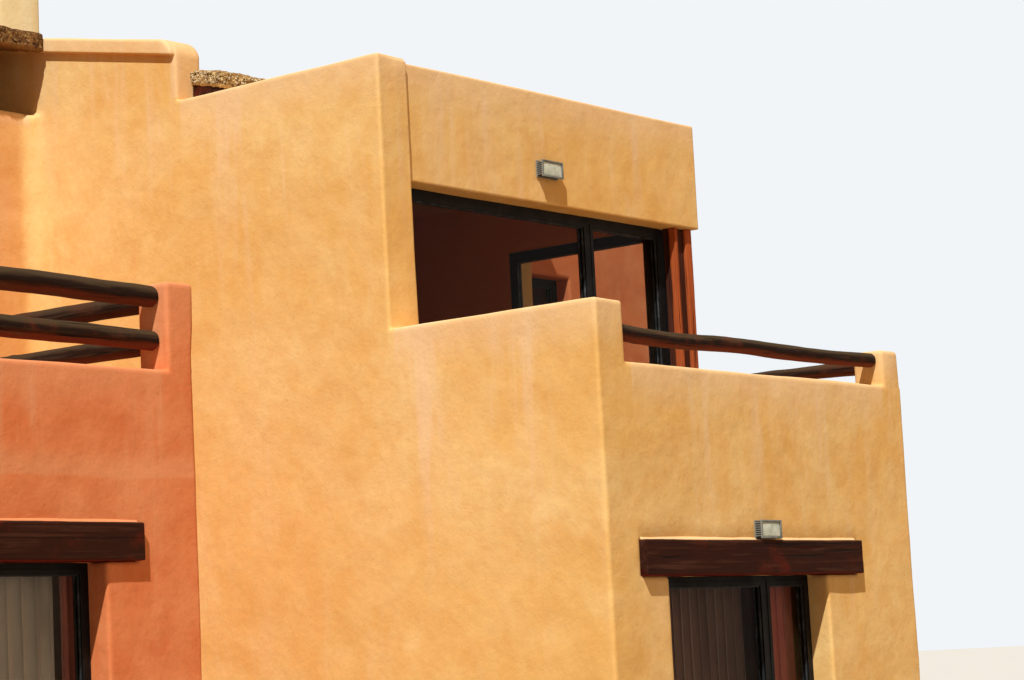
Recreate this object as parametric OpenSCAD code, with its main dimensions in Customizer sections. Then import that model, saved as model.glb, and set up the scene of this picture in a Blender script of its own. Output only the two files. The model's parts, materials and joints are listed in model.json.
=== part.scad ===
// Two storey adobe house with an ochre main volume, a terracotta side wing
// and a plain rear block. Lengths in mm, +Z up, the front faces -Y.
// House coordinates start at the outer front left corner of the ochre volume.

/* [Ochre volume] */
// overall width of the ochre volume
house_w = 5000; // [4800:50:5400]
// depth from the terrace front to the back wall face
house_d = 8800; // [8600:50:9400]
// thickness of the side and back walls
wall_t = 400; // [340:10:430]
// thickness of the front walls
front_t = 340; // [320:10:380]
// height of the terrace floor above the ground
storey_h = 3250; // [3200:10:3350]
// thickness of the storey slabs
slab_t = 250; // [200:10:300]
// thickness of the ground slab
ground_slab_t = 120; // [100:10:160]
// radius of the soft arrises of the earth walls
arris_r = 50; // [20:5:70]

/* [Ground floor opening] */
// distance from the left wall face to the opening
door_x = 850; // [800:10:900]
// width of the opening
door_w = 2560; // [2300:10:2600]
// height of the opening head above the ground
door_head = 2150; // [2050:10:2250]
// height of the timber lintel
lintel_h = 310; // [260:10:360]
// how far the lintel stands out from the wall
lintel_out = 70; // [60:5:120]
// lintel bearing left of the opening
bearing_left = 400; // [300:10:420]
// lintel bearing right of the opening
bearing_right = 550; // [400:10:700]

/* [Terrace] */
// depth of the terrace up to the upper room
terrace_d = 2270; // [2100:10:2400]
// height of the low parapet above the terrace floor
parapet_h = 720; // [640:10:780]
// height of the solid left parapet above the terrace floor
left_parapet_h = 1240; // [1150:10:1350]
// radius of the left parapet's end, seen from the side
end_r = 120; // [60:10:160]
// width of the corner pier
pier_w = 320; // [280:10:360]
// height of the corner pier above the low parapet
pier_h = 350; // [340:5:420]
// radius of the heads of the piers
pier_r = 80; // [40:5:100]
// diameter of the thick end of the front log
log_d = 200; // [150:5:205]
// diameter of the thin ends of the logs of the ochre terrace
log_end_d = 140; // [110:5:150]
// gap between the low parapet and the ends of the logs
log_gap = 145; // [140:5:180]
// how far the crooked front log bows up
log_bow = 115; // [0:5:120]

/* [Upper room] */
// clear height from the terrace floor to the fascia
head_h = 2620; // [2500:10:2700]
// height of the flat roof edge above the terrace floor
roof_line_h = 3720; // [3650:10:3800]
// thickness of the fascia wall
fascia_t = 310; // [300:5:340]
// how far the fascia stands back from the end of the left wall
fascia_back = 30; // [20:5:40]
// how far the fascia stands out past the right wall
fascia_past = 60; // [20:5:80]
// depth of the glazing behind the fascia face
glazing_back = 230; // [200:5:240]
// thickness of the flat roof slab
roof_t = 200; // [160:10:240]
// height of the roof edge above the roof slab
upstand = 270; // [220:10:300]
// distance from the right wall face to the corner of the glazing
glazing_edge = 210; // [190:10:250]
// distance from the terrace front to the end of the side glazing
side_glazing_y = 4470; // [4300:10:4500]
// distance from the left wall face to the upper mullion
mullion_x = 2940; // [2700:10:3000]
// width of the head bar of the upper window
upper_head_w = 110; // [90:5:130]
// width of the timber posts under the fascia end
post_w = 110; // [90:5:120]
// depth of the timber posts
post_d = 80; // [60:5:100]
// gap between the two posts
post_gap = 90; // [60:5:110]

/* [Rear roof] */
// distance from the terrace front to the raised gable
gable_y = 4820; // [4700:10:4950]
// height of the gable corner above the flat roof edge
gable_rise = 618; // [590:1:640]
// pitch of the mud roofs in degrees
roof_pitch = 11.2; // [10:0.1:12]
// height of the gable coping band
coping_h = 145; // [120:5:160]
// how far the coping stands out on each side of the wall
coping_out = 45; // [30:5:60]
// radius of the upper corner of the gable
gable_r = 150; // [80:10:200]
// thickness of the mud roof slab
mud_t = 170; // [150:5:185]
// how far the mud roof stands out in front of its wall
eave_out = 400; // [350:10:420]
// number of rafters
rafter_count = 5; // [4:1:6]

/* [Rear block] */
// depth of the rear block
block_d = 1950; // [1900:10:2100]
// height of the rear block parapet
block_h = 7200; // [7150:10:7250]
// radius of the rounded inner corner
fillet_r = 200; // [150:10:250]
// height of the canopy eave above the rear block parapet
canopy_rise = 780; // [750:10:800]
// thickness of the canopy slab
canopy_t = 190; // [180:5:200]
// height of the door from the rear block onto the wing
rear_door_h = 2150; // [2050:10:2250]
// height of the chimney top above the ground
chimney_h = 9300; // [9200:50:9600]

/* [Terracotta wing] */
// width of the gap between the wing and the ochre volume
wing_gap = 2260; // [2100:10:2400]
// width of the wing
wing_w = 4640; // [4500:10:4800]
// distance from the terrace front to the wing front
wing_y = 2500; // [2400:10:2600]
// thickness of the wing side walls and width of its piers
wing_t = 260; // [240:5:300]
// height of the wing floor above the ground
wing_floor = 300; // [250:10:350]
// distance from the wing edge to its opening
wing_door_x = 1020; // [950:10:1100]
// height of the wing opening head above the ground
wing_head = 2445; // [2400:5:2500]
// height of the wing lintel
wing_lintel_h = 290; // [250:10:320]
// lintel bearing on each side of the wing opening
wing_bearing = 325; // [250:5:450]
// height of the wing piers above the parapet
wing_pier_h = 740; // [730:5:800]
// diameter of the wing rails
rail_d = 170; // [140:5:180]
// gap between the wing parapet and the lower rail
rail_gap = 200; // [170:5:205]
// distance between the two rails
rail_pitch = 350; // [330:5:355]
// how far the crooked rails bow
rail_bow = 30; // [0:2:34]

/* [Side wing] */
// width of the terracotta wing behind the right side
side_w = 2950; // [2700:50:3200]
// distance from the end of the side glazing to the side wing
side_gap = 280; // [150:10:400]
// height of the side wing parapet
side_h = 6600; // [6500:10:6800]
// height of the side wing roof slab above the ground
side_roof_z = 6300; // [6200:10:6350]
// distance from the right wall face to the side wing window
side_window_x = 350; // [300:10:450]
// width of the side wing window
side_window_w = 680; // [650:10:800]
// height of the side wing window
side_window_h = 1300; // [1100:50:1400]
// height of the head of that window above its floor
side_head_h = 2500; // [2400:10:2600]

/* [Windows and lamps] */
// width of the dark window frame bars
frame_w = 90; // [60:5:110]
// thickness of the window frames
frame_t = 80; // [70:5:80]
// width of the doubled meeting stiles
stile_w = 150; // [120:5:180]
// thickness of the glass
glass_t = 24; // [16:2:30]
// width of the plain rear windows
window_w = 1150; // [1000:50:1300]
// height of the plain rear windows
window_h = 1050; // [900:50:1150]
// height of the sills above their floor
sill_h = 950; // [850:10:1000]
// lamp width
lamp_w = 330; // [280:10:340]
// lamp height
lamp_h = 165; // [150:5:180]
// lamp depth
lamp_out = 85; // [70:5:95]
// distance from the left wall to the middle of the upper lamp
upper_lamp_from = 2075; // [1900:25:2300]
// height of the upper lamp above the lower edge of the fascia
upper_lamp_rise = 250; // [150:10:400]
// distance from the edge of the ground opening to the middle of the lower lamp
lower_lamp_from = 1530; // [1300:10:1700]

/* [Hidden] */
$fn = 48;
cut = 20;
parapet_top = storey_h + parapet_h;
left_parapet_top = storey_h + left_parapet_h;
fascia_z = storey_h + head_h;
roof_line = storey_h + roof_line_h;
flat_roof_top = roof_line - upstand;
slope = tan(roof_pitch);
gable_top = roof_line + gable_rise;
coping_drop = 255;
mud_top = gable_top - coping_drop;
eave_y = gable_y - eave_out;
eave_back = 100;
fascia_y = terrace_d + fascia_back;
glazing_y = fascia_y + glazing_back;
glazing_end = house_w - glazing_edge;
side_x = house_w + side_w;
side_y = side_glazing_y + side_gap;
side_window_head = storey_h + side_head_h;
room_y = fascia_y + fascia_t;
post_y = fascia_y + 57;
inner_w = house_w - 2 * wall_t;
right_x = house_w - wall_t;
back_y = house_d - wall_t;
door_end = door_x + door_w;
door_frame_y = 220;
door_stile_x = door_x + door_w * 0.68;
wing_left = -wing_gap - wing_w;
wing_right = -wing_gap;
wing_door_end = wing_right - wing_door_x;
wing_door_start = wing_left + wing_door_x;
wing_door_w = wing_door_end - wing_door_start;
wing_stile_x = wing_door_start + (wing_door_w - stile_w) / 2;
upper_door_head = storey_h + rear_door_h;
clerestory_t = 300;
rafter_w = 100;
rafter_h = 120;
rafter_edge = 30;
pocket_d = 200;
block_y = house_d - block_d;
canopy_gap = coping_out + 20;
canopy_front = block_y - 250;
canopy_h = block_h + canopy_rise;
rear_floor_z = 6350;
beam_h = 180;
beam_start = wing_left + 250;
beam_end = -360;
canopy_post_d = 150;
chimney_x = wall_t + 20;
chimney_w = 670;
chimney_d = 650;
chimney_y = house_d - chimney_d - 250;
arc_steps = 5;
log_sides = 14;
log_rings = 8;
rail_taper = 0.9;
timber_r = 12;
band_r = 45;
band_under_r = 18;
lamp_plate_t = 12;
lamp_edge = 12;
lamp_fins = 4;
lower_lamp_x = door_x + lower_lamp_from;
upper_lamp_x = wall_t + upper_lamp_from;
lower_lamp_z = door_head + lintel_h + 10;
upper_lamp_z = fascia_z + upper_lamp_rise;
log_y0 = front_t / 2 - 40;
rear_window_x = [house_w / 2, wing_left / 2];
side_window_mid = house_w + side_w / 2;
window_back = 180;

// centre of the whole outline, so that the origin is at its bottom centre
mid_x = (side_x + wing_left) / 2;
mid_y = (house_d + eave_back - max(lintel_out, lamp_out)) / 2;

function mud_z(y) = mud_top + (y - gable_y) * slope;
function coping_z(y) = gable_top + (y - gable_y) * slope;
function canopy_z(y) = canopy_h + (y - canopy_front) * slope;
function rail_z(i) = parapet_top + rail_gap + rail_d / 2 + i * rail_pitch;

module place() {
  translate([-mid_x, -mid_y, 0]) children();
}

// a box given by its lower corner and its upper corner
module box(a, b) {
  translate(a) cube([b[0] - a[0], b[1] - a[1], b[2] - a[2]]);
}

// a side profile of y and z points, drawn out along x
module along_x(x0, x1, points) {
  translate([x0, 0, 0])
    rotate([90, 0, 90]) linear_extrude(height = x1 - x0) polygon(points);
}

// a section of x and z points, drawn out along y
module along_y(y0, y1, points) {
  translate([0, y1, 0])
    rotate([90, 0, 0]) linear_extrude(height = y1 - y0) polygon(points);
}

// a plan of x and y points, drawn up
module upright(z0, z1, points) {
  translate([0, 0, z0]) linear_extrude(height = z1 - z0) polygon(points);
}

function rect(u0, v0, u1, v1) = [[u0, v0], [u1, v0], [u1, v1], [u0, v1]];

// an outline whose corners are rounded, each by its own radius
function unit(v) = v / norm(v);
function turned(v, a) = [v[0] * cos(a) - v[1] * sin(a),
                         v[0] * sin(a) + v[1] * cos(a)];
function corner(p, q, s, r) = r == 0 ? [q] :
  let (a = unit(p - q), b = unit(s - q), half = acos(a * b) / 2,
       centre = q + unit(a + b) * r / sin(half),
       start = q + a * r / tan(half) - centre,
       stop = q + b * r / tan(half) - centre,
       way = sign(start[0] * stop[1] - start[1] * stop[0]))
  [for (i = [0 : arc_steps])
    centre + turned(start, way * (180 - 2 * half) * i / arc_steps)];
function soft(points, radii) =
  let (n = len(points))
  [for (i = [0 : n - 1])
    each corner(points[(i + n - 1) % n], points[i], points[(i + 1) % n],
                radii[i])];

// an earth block from corner a to corner b with soft arrises: heads are the
// radii of its upper edges at the back, front, right and left, and plan those
// of its upright edges, front left first and then round to the back left
module earth(a, b, heads, plan = [0, 0, 0, 0]) {
  intersection() {
    along_x(a[0], b[0],
            soft(rect(a[1], a[2], b[1], b[2]), [0, 0, heads[0], heads[1]]));
    along_y(a[1], b[1],
            soft(rect(a[0], a[2], b[0], b[2]), [0, 0, heads[2], heads[3]]));
    upright(a[2], b[2], soft(rect(a[0], a[1], b[0], b[1]), plan));
  }
}

// a crooked log between two end centres, with its diameter at each of them,
// that bows by a vector at its middle
module log(a, b, d0, d1, bow) {
  along = unit(b - a);
  side = cross([0, 0, 1], along);
  n = log_sides;
  points = [for (i = [0 : log_rings], k = [0 : n - 1])
    let (t = i / log_rings, r = (d0 + (d1 - d0) * t) / 2)
    a + (b - a) * t + bow * 4 * t * (1 - t)
      + r * (cos(360 * k / n) * side + [0, 0, sin(360 * k / n)])];
  faces = concat([[for (k = [0 : n - 1]) k]],
    [for (i = [0 : log_rings - 1], k = [0 : n - 1])
      let (m = (k + 1) % n)
      [i * n + k, (i + 1) * n + k, (i + 1) * n + m, i * n + m]],
    [[for (k = [n - 1 : -1 : 0]) log_rings * n + k]]);
  polyhedron(points, faces);
}

// a squared timber with worn edges, lying along x
module timber(a, b) {
  along_x(a[0], b[0], soft(rect(a[1], a[2], b[1], b[2]),
                           [timber_r, timber_r, timber_r, timber_r]));
}

// a pier with a soft head
module pier(x0, x1, y0, y1, z0, z1, plan) {
  earth([x0, y0, z0], [x1, y1, z1], [pier_r, pier_r, pier_r, pier_r], plan);
}

// a window frame standing in the xz plane with one meeting stile
module frame(x0, x1, y, z0, z1, left_w, right_w, stile_x, head_w = frame_w) {
  difference() {
    box([x0, y, z0], [x1, y + frame_t, z1]);
    box([x0 + left_w, y - cut, z0 + frame_w],
        [stile_x, y + frame_t + cut, z1 - head_w]);
    box([stile_x + stile_w, y - cut, z0 + frame_w],
        [x1 - right_w, y + frame_t + cut, z1 - head_w]);
  }
}

// two panes that fill such a frame
module panes(x0, x1, y, z0, z1, left_w, right_w, stile_x, head_w = frame_w) {
  mid = y + (frame_t - glass_t) / 2;
  box([x0 + left_w, mid, z0 + frame_w],
      [stile_x, mid + glass_t, z1 - head_w]);
  box([stile_x + stile_w, mid, z0 + frame_w],
      [x1 - right_w, mid + glass_t, z1 - head_w]);
}

// the openings of the plain rear windows, one above the other
module rear_holes(x, y0, y1) {
  for (floor_z = [0, storey_h])
    box([x - window_w / 2, y0, floor_z + sill_h],
        [x + window_w / 2, y1, floor_z + sill_h + window_h]);
}

// ochre walls

// the raised part of a side wall, up to the underside of its coping
module gable_wall(x0, x1, plan) {
  intersection() {
    along_x(x0, x1, [[gable_y, 0], [house_d, 0],
      [house_d, coping_z(house_d) - coping_h],
      [gable_y, coping_z(gable_y) - coping_h]]);
    upright(0, coping_z(house_d), soft(rect(x0, gable_y, x1, house_d), plan));
  }
}

module left_wall() {
  lap = arris_r + 1;
  color("goldenrod") place() {
    earth([0, 0, 0], [wall_t, terrace_d + lap, left_parapet_top],
          [0, end_r, arris_r, arris_r], [arris_r, 0, 0, 0]);
    earth([0, terrace_d, 0], [wall_t, gable_y + lap, roof_line],
          [0, arris_r, arris_r, arris_r], [arris_r, 0, 0, 0]);
    gable_wall(0, wall_t, [arris_r, 0, 0, 0]);
  }
}

module right_wall() {
  lap = arris_r + 1;
  color("goldenrod") place() {
    earth([right_x, front_t, 0], [house_w, fascia_y + 1, parapet_top],
          [0, 0, arris_r, arris_r]);
    box([right_x, fascia_y, 0], [house_w, side_glazing_y + 1, parapet_top]);
    box([right_x, side_glazing_y, 0], [house_w, gable_y + lap, fascia_z + 1]);
    earth([right_x, room_y, fascia_z], [house_w, gable_y + lap, roof_line],
          [0, 0, arris_r, arris_r]);
    gable_wall(right_x, house_w, [0, arris_r, 0, 0]);
  }
}

// the thick band that caps a raised gable, laid on its slope
module coping(x0, x1, y1, left_r, right_r) {
  run = y1 - gable_y;
  under = coping_h * cos(roof_pitch);
  intersection() {
    translate([0, gable_y, gable_top]) rotate([roof_pitch, 0, 0])
      along_y(-under, run / cos(roof_pitch) + under,
        soft(rect(x0, -under, x1, 0),
             [left_r > 0 ? band_under_r : 0, right_r > 0 ? band_under_r : 0,
              right_r, left_r]));
    along_x(x0, x1, soft([[gable_y, coping_z(gable_y) - 2 * coping_h],
      [y1, coping_z(y1) - 2 * coping_h], [y1, coping_z(y1)],
      [gable_y, coping_z(gable_y)]], [0, 0, 0, gable_r]));
    upright(0, coping_z(y1), soft(rect(x0, gable_y, x1, y1),
                                  [left_r, right_r, 0, 0]));
  }
}

module gable_copings() {
  color("peru") place() {
    coping(0, wall_t + coping_out, house_d, 0, band_r);
    coping(-coping_out, wall_t, back_y, band_r, 0);
    coping(right_x - coping_out, house_w + coping_out, house_d, band_r, band_r);
  }
}

module front_wall_left() {
  color("goldenrod") place()
    box([wall_t, 0, 0], [door_x, front_t, door_head]);
}

module front_wall_right() {
  color("goldenrod") place()
    earth([door_end, 0, 0], [house_w, front_t, door_head],
          [0, 0, 0, 0], [0, arris_r, 0, 0]);
}

module front_wall_over() {
  color("goldenrod") place() difference() {
    union() {
      earth([wall_t, 0, door_head], [house_w - pier_w + 1, front_t, parapet_top],
            [arris_r, arris_r, 0, 0]);
      earth([house_w - pier_w, 0, door_head], [house_w, front_t, parapet_top],
            [0, 0, 0, 0], [0, arris_r, 0, 0]);
    }
    box([door_x - bearing_left, -cut, door_head - cut],
        [door_end + bearing_right, pocket_d, door_head + lintel_h]);
  }
}

module back_wall() {
  color("goldenrod") place() difference() {
    union() {
      along_x(wall_t, right_x, [[back_y, 0], [house_d, 0],
        [house_d, mud_z(house_d) - mud_t], [back_y, mud_z(back_y) - mud_t]]);
      along_x(wing_left, 0, [[back_y, 0], [house_d, 0],
        [house_d, canopy_z(house_d) - canopy_t],
        [back_y, canopy_z(back_y) - canopy_t]]);
    }
    for (x = rear_window_x) rear_holes(x, back_y - cut, house_d + cut);
  }
}

module terrace_pier() {
  color("goldenrod") place()
    pier(house_w - pier_w, house_w, 0, front_t, parapet_top,
         parapet_top + pier_h, [0, arris_r, 0, 0]);
}

// the fascia over the glazing, with its return along the right wall
module upper_fascia() {
  top = roof_line - 10;
  x1 = house_w + fascia_past;
  color("goldenrod") place() {
    earth([wall_t, fascia_y, fascia_z], [x1, room_y, top],
          [arris_r, arris_r, arris_r, 0], [0, arris_r, 0, 0]);
    earth([house_w, room_y - arris_r - 1, fascia_z], [x1, side_y, top],
          [0, 0, arris_r, 0]);
  }
}

module clerestory_wall() {
  color("goldenrod") place() difference() {
    along_x(wall_t, right_x, [[gable_y, flat_roof_top],
      [gable_y + clerestory_t, flat_roof_top],
      [gable_y + clerestory_t, mud_z(gable_y + clerestory_t) - mud_t],
      [gable_y, mud_z(gable_y) - mud_t]]);
    rafters(cut);
  }
}

// floors and roofs

module ground_floor() {
  color("lightgray") place() {
    box([wall_t, front_t, 0], [right_x, back_y, ground_slab_t]);
    box([door_x, 0, 0], [door_end, front_t + 1, ground_slab_t]);
  }
}

module upper_floor() {
  color("lightgray") place()
    box([wall_t, front_t, storey_h - slab_t], [right_x, back_y, storey_h]);
}

module flat_roof() {
  color("lightgray") place()
    box([wall_t, room_y, flat_roof_top - roof_t],
        [right_x, gable_y + clerestory_t, flat_roof_top]);
}

module mud_roof() {
  color("sienna") place()
    along_x(wall_t, right_x, [[eave_y, mud_z(eave_y) - mud_t],
      [house_d + eave_back, mud_z(house_d + eave_back) - mud_t],
      [house_d + eave_back, mud_z(house_d + eave_back)],
      [eave_y, mud_z(eave_y)]]);
}

// squared rafters under the mud roof, let into the clerestory wall
module rafters(rise) {
  pitch = (inner_w - 2 * rafter_edge - rafter_w) / (rafter_count - 1);
  y0 = eave_y + 60;
  top0 = mud_z(y0) - mud_t;
  top1 = mud_z(back_y) - mud_t;
  for (i = [0 : rafter_count - 1]) {
    x = wall_t + rafter_edge + i * pitch;
    along_x(x, x + rafter_w, [[y0, top0 - rafter_h],
      [back_y, top1 - rafter_h], [back_y, top1 + rise], [y0, top0 + rise]]);
  }
}

module roof_rafters() {
  color("saddlebrown") place() rafters(0);
}

// timber of the ochre volume

module ground_lintel() {
  color("saddlebrown") place()
    timber([door_x - bearing_left, -lintel_out, door_head],
        [door_end + bearing_right, pocket_d, door_head + lintel_h]);
}

module terrace_front_log() {
  z = parapet_top + log_gap;
  color("saddlebrown") place()
    log([wall_t, log_y0, z + log_d / 2],
        [house_w - pier_w, log_y0, z + log_end_d / 2], log_d, log_end_d,
        [0, 0, log_bow]);
}

module terrace_side_log() {
  x = house_w - pier_w / 2;
  z = parapet_top + log_gap + log_end_d / 2;
  color("saddlebrown") place()
    log([x, front_t, z], [x, post_y, z], log_end_d, log_end_d * rail_taper,
        [0, 0, log_bow / 4]);
}

module corner_posts() {
  color("saddlebrown") place()
    for (x1 = [house_w, house_w - post_w - post_gap])
      box([x1 - post_w, post_y, parapet_top], [x1, post_y + post_d, fascia_z]);
}

// windows and lamps of the ochre volume

// a single light in the right wall that turns the corner of the glazing
module side_light(inset, thick) {
  y0 = room_y + frame_w;
  y1 = side_glazing_y - frame_w;
  z0 = parapet_top + frame_w;
  x = right_x + inset;
  box([x, y0, z0], [x + thick, y1, fascia_z - upper_head_w]);
}

module upper_window_frame() {
  color("dimgray") place() {
    difference() {
      frame(wall_t, glazing_end, glazing_y, storey_h, fascia_z,
            frame_w, glazing_end - right_x, mullion_x + wall_t, upper_head_w);
      box([right_x, glazing_y - cut, storey_h - cut],
          [house_w + cut, glazing_y + frame_t + cut, parapet_top]);
    }
    difference() {
      box([right_x, glazing_y + frame_t, parapet_top],
          [right_x + frame_t, side_glazing_y, fascia_z]);
      side_light(-cut, frame_t + 2 * cut);
    }
  }
}

module upper_glass() {
  color("lightblue") place() {
    panes(wall_t, glazing_end, glazing_y, storey_h, fascia_z,
          frame_w, glazing_end - right_x, mullion_x + wall_t, upper_head_w);
    side_light((frame_t - glass_t) / 2, glass_t);
  }
}

module ground_window_frame() {
  color("dimgray") place()
    frame(door_x, door_end, door_frame_y, ground_slab_t, door_head,
          frame_w, frame_w, door_stile_x);
}

module ground_glass() {
  color("lightblue") place()
    panes(door_x, door_end, door_frame_y, ground_slab_t, door_head,
          frame_w, frame_w, door_stile_x);
}

// a bulkhead lamp: a wall plate, a finned body and a glass in a raised rim
module lamp(x, y, z) {
  x0 = x - lamp_w / 2;
  x1 = x + lamp_w / 2;
  fin_pitch = lamp_h / (2 * lamp_fins + 1);
  box([x0, y - lamp_plate_t, z], [x1, y, z + lamp_h]);
  difference() {
    box([x0 + lamp_edge / 2, y - lamp_out, z + lamp_edge / 2],
        [x1 - lamp_edge / 2, y - lamp_plate_t + 1, z + lamp_h - lamp_edge / 2]);
    box([x0 + 2 * lamp_edge, y - lamp_out - cut, z + 2 * lamp_edge],
        [x1 - 2 * lamp_edge, y - lamp_out + lamp_edge / 2,
         z + lamp_h - 2 * lamp_edge]);
    for (i = [1 : lamp_fins], edge = [x0, x1])
      box([edge - lamp_edge, y - lamp_out + lamp_edge, z + (2 * i - 1) * fin_pitch],
          [edge + lamp_edge, y - lamp_plate_t - lamp_edge / 2,
           z + 2 * i * fin_pitch]);
  }
}

module wall_lamps() {
  color("gray") place() {
    lamp(upper_lamp_x, fascia_y, upper_lamp_z);
    lamp(lower_lamp_x, 0, lower_lamp_z);
  }
}

// rear block

module rear_front_wall() {
  color("goldenrod") place() {
    difference() {
      earth([wing_left, block_y, 0], [0, block_y + wall_t, block_h],
            [arris_r, arris_r, 0, arris_r], [arris_r, 0, 0, 0]);
      box([wing_door_start, block_y - cut, storey_h],
          [wing_door_end, block_y + wall_t + cut, upper_door_head]);
    }
    difference() {
      box([-fillet_r, block_y - fillet_r, 0], [0, block_y + 1, block_h]);
      translate([-fillet_r, block_y - fillet_r, -cut])
        cylinder(h = block_h + 2 * cut, r = fillet_r);
    }
  }
}

module rear_left_wall() {
  color("goldenrod") place()
    earth([wing_left, block_y + wall_t, 0], [wing_left + wall_t, back_y, block_h],
          [0, 0, arris_r, arris_r]);
}

module rear_floors() {
  color("lightgray") place() {
    for (top = [storey_h, rear_floor_z])
      box([wing_left + wall_t, block_y + wall_t, top - slab_t],
          [0, back_y, top]);
    for (top = [slab_t, storey_h, side_roof_z])
      box([house_w, side_y + front_t, top - slab_t],
          [side_x - wall_t, back_y, top]);
  }
}

// side wing behind the right side, seen through the corner of the glazing

module side_wing_walls() {
  x0 = house_w + side_window_x;
  lap = arris_r + 1;
  color("indianred") place() difference() {
    union() {
      earth([house_w, side_y, 0], [side_x, side_y + front_t, side_h],
            [arris_r, arris_r, arris_r, 0], [0, arris_r, 0, 0]);
      earth([house_w, back_y, 0], [side_x, house_d, side_h],
            [arris_r, arris_r, arris_r, 0], [0, 0, arris_r, 0]);
      earth([side_x - wall_t, side_y + front_t - lap, 0],
            [side_x, back_y + lap, side_h], [0, 0, arris_r, arris_r]);
    }
    box([x0, side_y - cut, side_window_head - side_window_h],
        [x0 + side_window_w, side_y + front_t + cut, side_window_head]);
    rear_holes(side_window_mid, back_y - cut, house_d + cut);
  }
}

module canopy_roof() {
  color("sienna") place()
    along_x(wing_left, -canopy_gap,
      [[canopy_front, canopy_z(canopy_front) - canopy_t],
      [house_d + eave_back, canopy_z(house_d + eave_back) - canopy_t],
      [house_d + eave_back, canopy_z(house_d + eave_back)],
      [canopy_front, canopy_z(canopy_front)]]);
}

// a beam on three short posts that stand on the parapet
module canopy_frame() {
  mid = block_y + wall_t / 2;
  y0 = mid - beam_h / 2;
  y1 = y0 + beam_h;
  under = canopy_z(y0) - canopy_t - beam_h;
  span = beam_end - beam_start - 2 * canopy_post_d;
  color("saddlebrown") place() {
    along_x(beam_start, beam_end, [[y0, under], [y1, under],
      [y1, canopy_z(y1) - canopy_t], [y0, canopy_z(y0) - canopy_t]]);
    for (i = [0 : 2])
      translate([beam_start + canopy_post_d + i * span / 2, mid, block_h])
        cylinder(h = under - block_h + 1, d = canopy_post_d);
  }
}

module chimney() {
  x1 = chimney_x + chimney_w;
  y1 = chimney_y + chimney_d;
  color("beige") place() intersection() {
    along_x(chimney_x, x1, [[chimney_y, mud_z(chimney_y)],
      [y1, mud_z(y1)], [y1, chimney_h], [chimney_y, chimney_h]]);
    earth([chimney_x, chimney_y, 0], [x1, y1, chimney_h],
          [arris_r, arris_r, arris_r, arris_r],
          [arris_r, arris_r, arris_r, arris_r]);
  }
}

// windows of the unseen rear parts

module side_window_light(inset, thick) {
  x0 = house_w + side_window_x;
  y = side_y + window_back + inset;
  box([x0 + frame_w, y, side_window_head - side_window_h + frame_w],
      [x0 + side_window_w - frame_w, y + thick, side_window_head - frame_w]);
}

module side_window_frame() {
  x0 = house_w + side_window_x;
  y = side_y + window_back;
  difference() {
    box([x0, y, side_window_head - side_window_h],
        [x0 + side_window_w, y + frame_t, side_window_head]);
    side_window_light(-cut, frame_t + 2 * cut);
  }
}

module rear_window_frames() {
  y = house_d - window_back;
  color("dimgray") place() {
    frame(wing_door_start, wing_door_end, block_y + pocket_d, storey_h,
          upper_door_head, frame_w, frame_w, wing_stile_x);
    for (x = concat(rear_window_x, side_window_mid), floor_z = [0, storey_h])
      frame(x - window_w / 2, x + window_w / 2, y, floor_z + sill_h,
            floor_z + sill_h + window_h, frame_w, frame_w,
            x - stile_w / 2);
    side_window_frame();
  }
}

module rear_glass() {
  y = house_d - window_back;
  color("lightblue") place() {
    panes(wing_door_start, wing_door_end, block_y + pocket_d, storey_h,
          upper_door_head, frame_w, frame_w, wing_stile_x);
    for (x = concat(rear_window_x, side_window_mid), floor_z = [0, storey_h])
      panes(x - window_w / 2, x + window_w / 2, y, floor_z + sill_h,
            floor_z + sill_h + window_h, frame_w, frame_w,
            x - stile_w / 2);
    side_window_light((frame_t - glass_t) / 2, glass_t);
  }
}

// terracotta wing

module red_front_wall_left() {
  color("indianred") place()
    earth([wing_left, wing_y, 0], [wing_door_start, wing_y + front_t, wing_head],
          [0, 0, 0, 0], [arris_r, 0, 0, 0]);
}

module red_front_wall_right() {
  color("indianred") place()
    earth([wing_door_end, wing_y, 0], [wing_right, wing_y + front_t, wing_head],
          [0, 0, 0, 0], [0, arris_r, 0, 0]);
}

module red_front_wall_over() {
  color("indianred") place() difference() {
    union() {
      earth([wing_left, wing_y, wing_head],
            [wing_right, wing_y + front_t, parapet_top - arris_r],
            [0, 0, 0, 0], [arris_r, arris_r, 0, 0]);
      earth([wing_left + wing_t, wing_y, wing_head],
            [wing_right - wing_t, wing_y + front_t, parapet_top],
            [arris_r, arris_r, 0, 0]);
      for (x = [wing_left, wing_right - wing_t])
        earth([x, wing_y, parapet_top - arris_r - 1],
              [x + wing_t, wing_y + front_t, parapet_top], [0, 0, 0, 0],
              x == wing_left ? [arris_r, 0, 0, 0] : [0, arris_r, 0, 0]);
    }
    box([wing_door_start - wing_bearing, wing_y - cut, wing_head - cut],
        [wing_door_end + wing_bearing, wing_y + pocket_d,
         wing_head + wing_lintel_h]);
  }
}

module red_left_wall() {
  color("indianred") place()
    earth([wing_left, wing_y + front_t, 0],
          [wing_left + wing_t, block_y, parapet_top], [0, 0, arris_r, arris_r]);
}

module red_right_wall() {
  color("indianred") place()
    earth([wing_right - wing_t, wing_y + front_t, 0],
          [wing_right, block_y, parapet_top], [0, 0, arris_r, arris_r]);
}

module red_piers() {
  color("indianred") place()
    for (x = [wing_left, wing_right - wing_t])
      pier(x, x + wing_t, wing_y, wing_y + front_t, parapet_top,
           parapet_top + wing_pier_h,
           x == wing_left ? [arris_r, 0, 0, 0] : [0, arris_r, 0, 0]);
}

module red_lintel() {
  color("saddlebrown") place()
    timber([wing_door_start - wing_bearing, wing_y - lintel_out, wing_head],
        [wing_door_end + wing_bearing, wing_y + pocket_d,
         wing_head + wing_lintel_h]);
}

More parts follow.
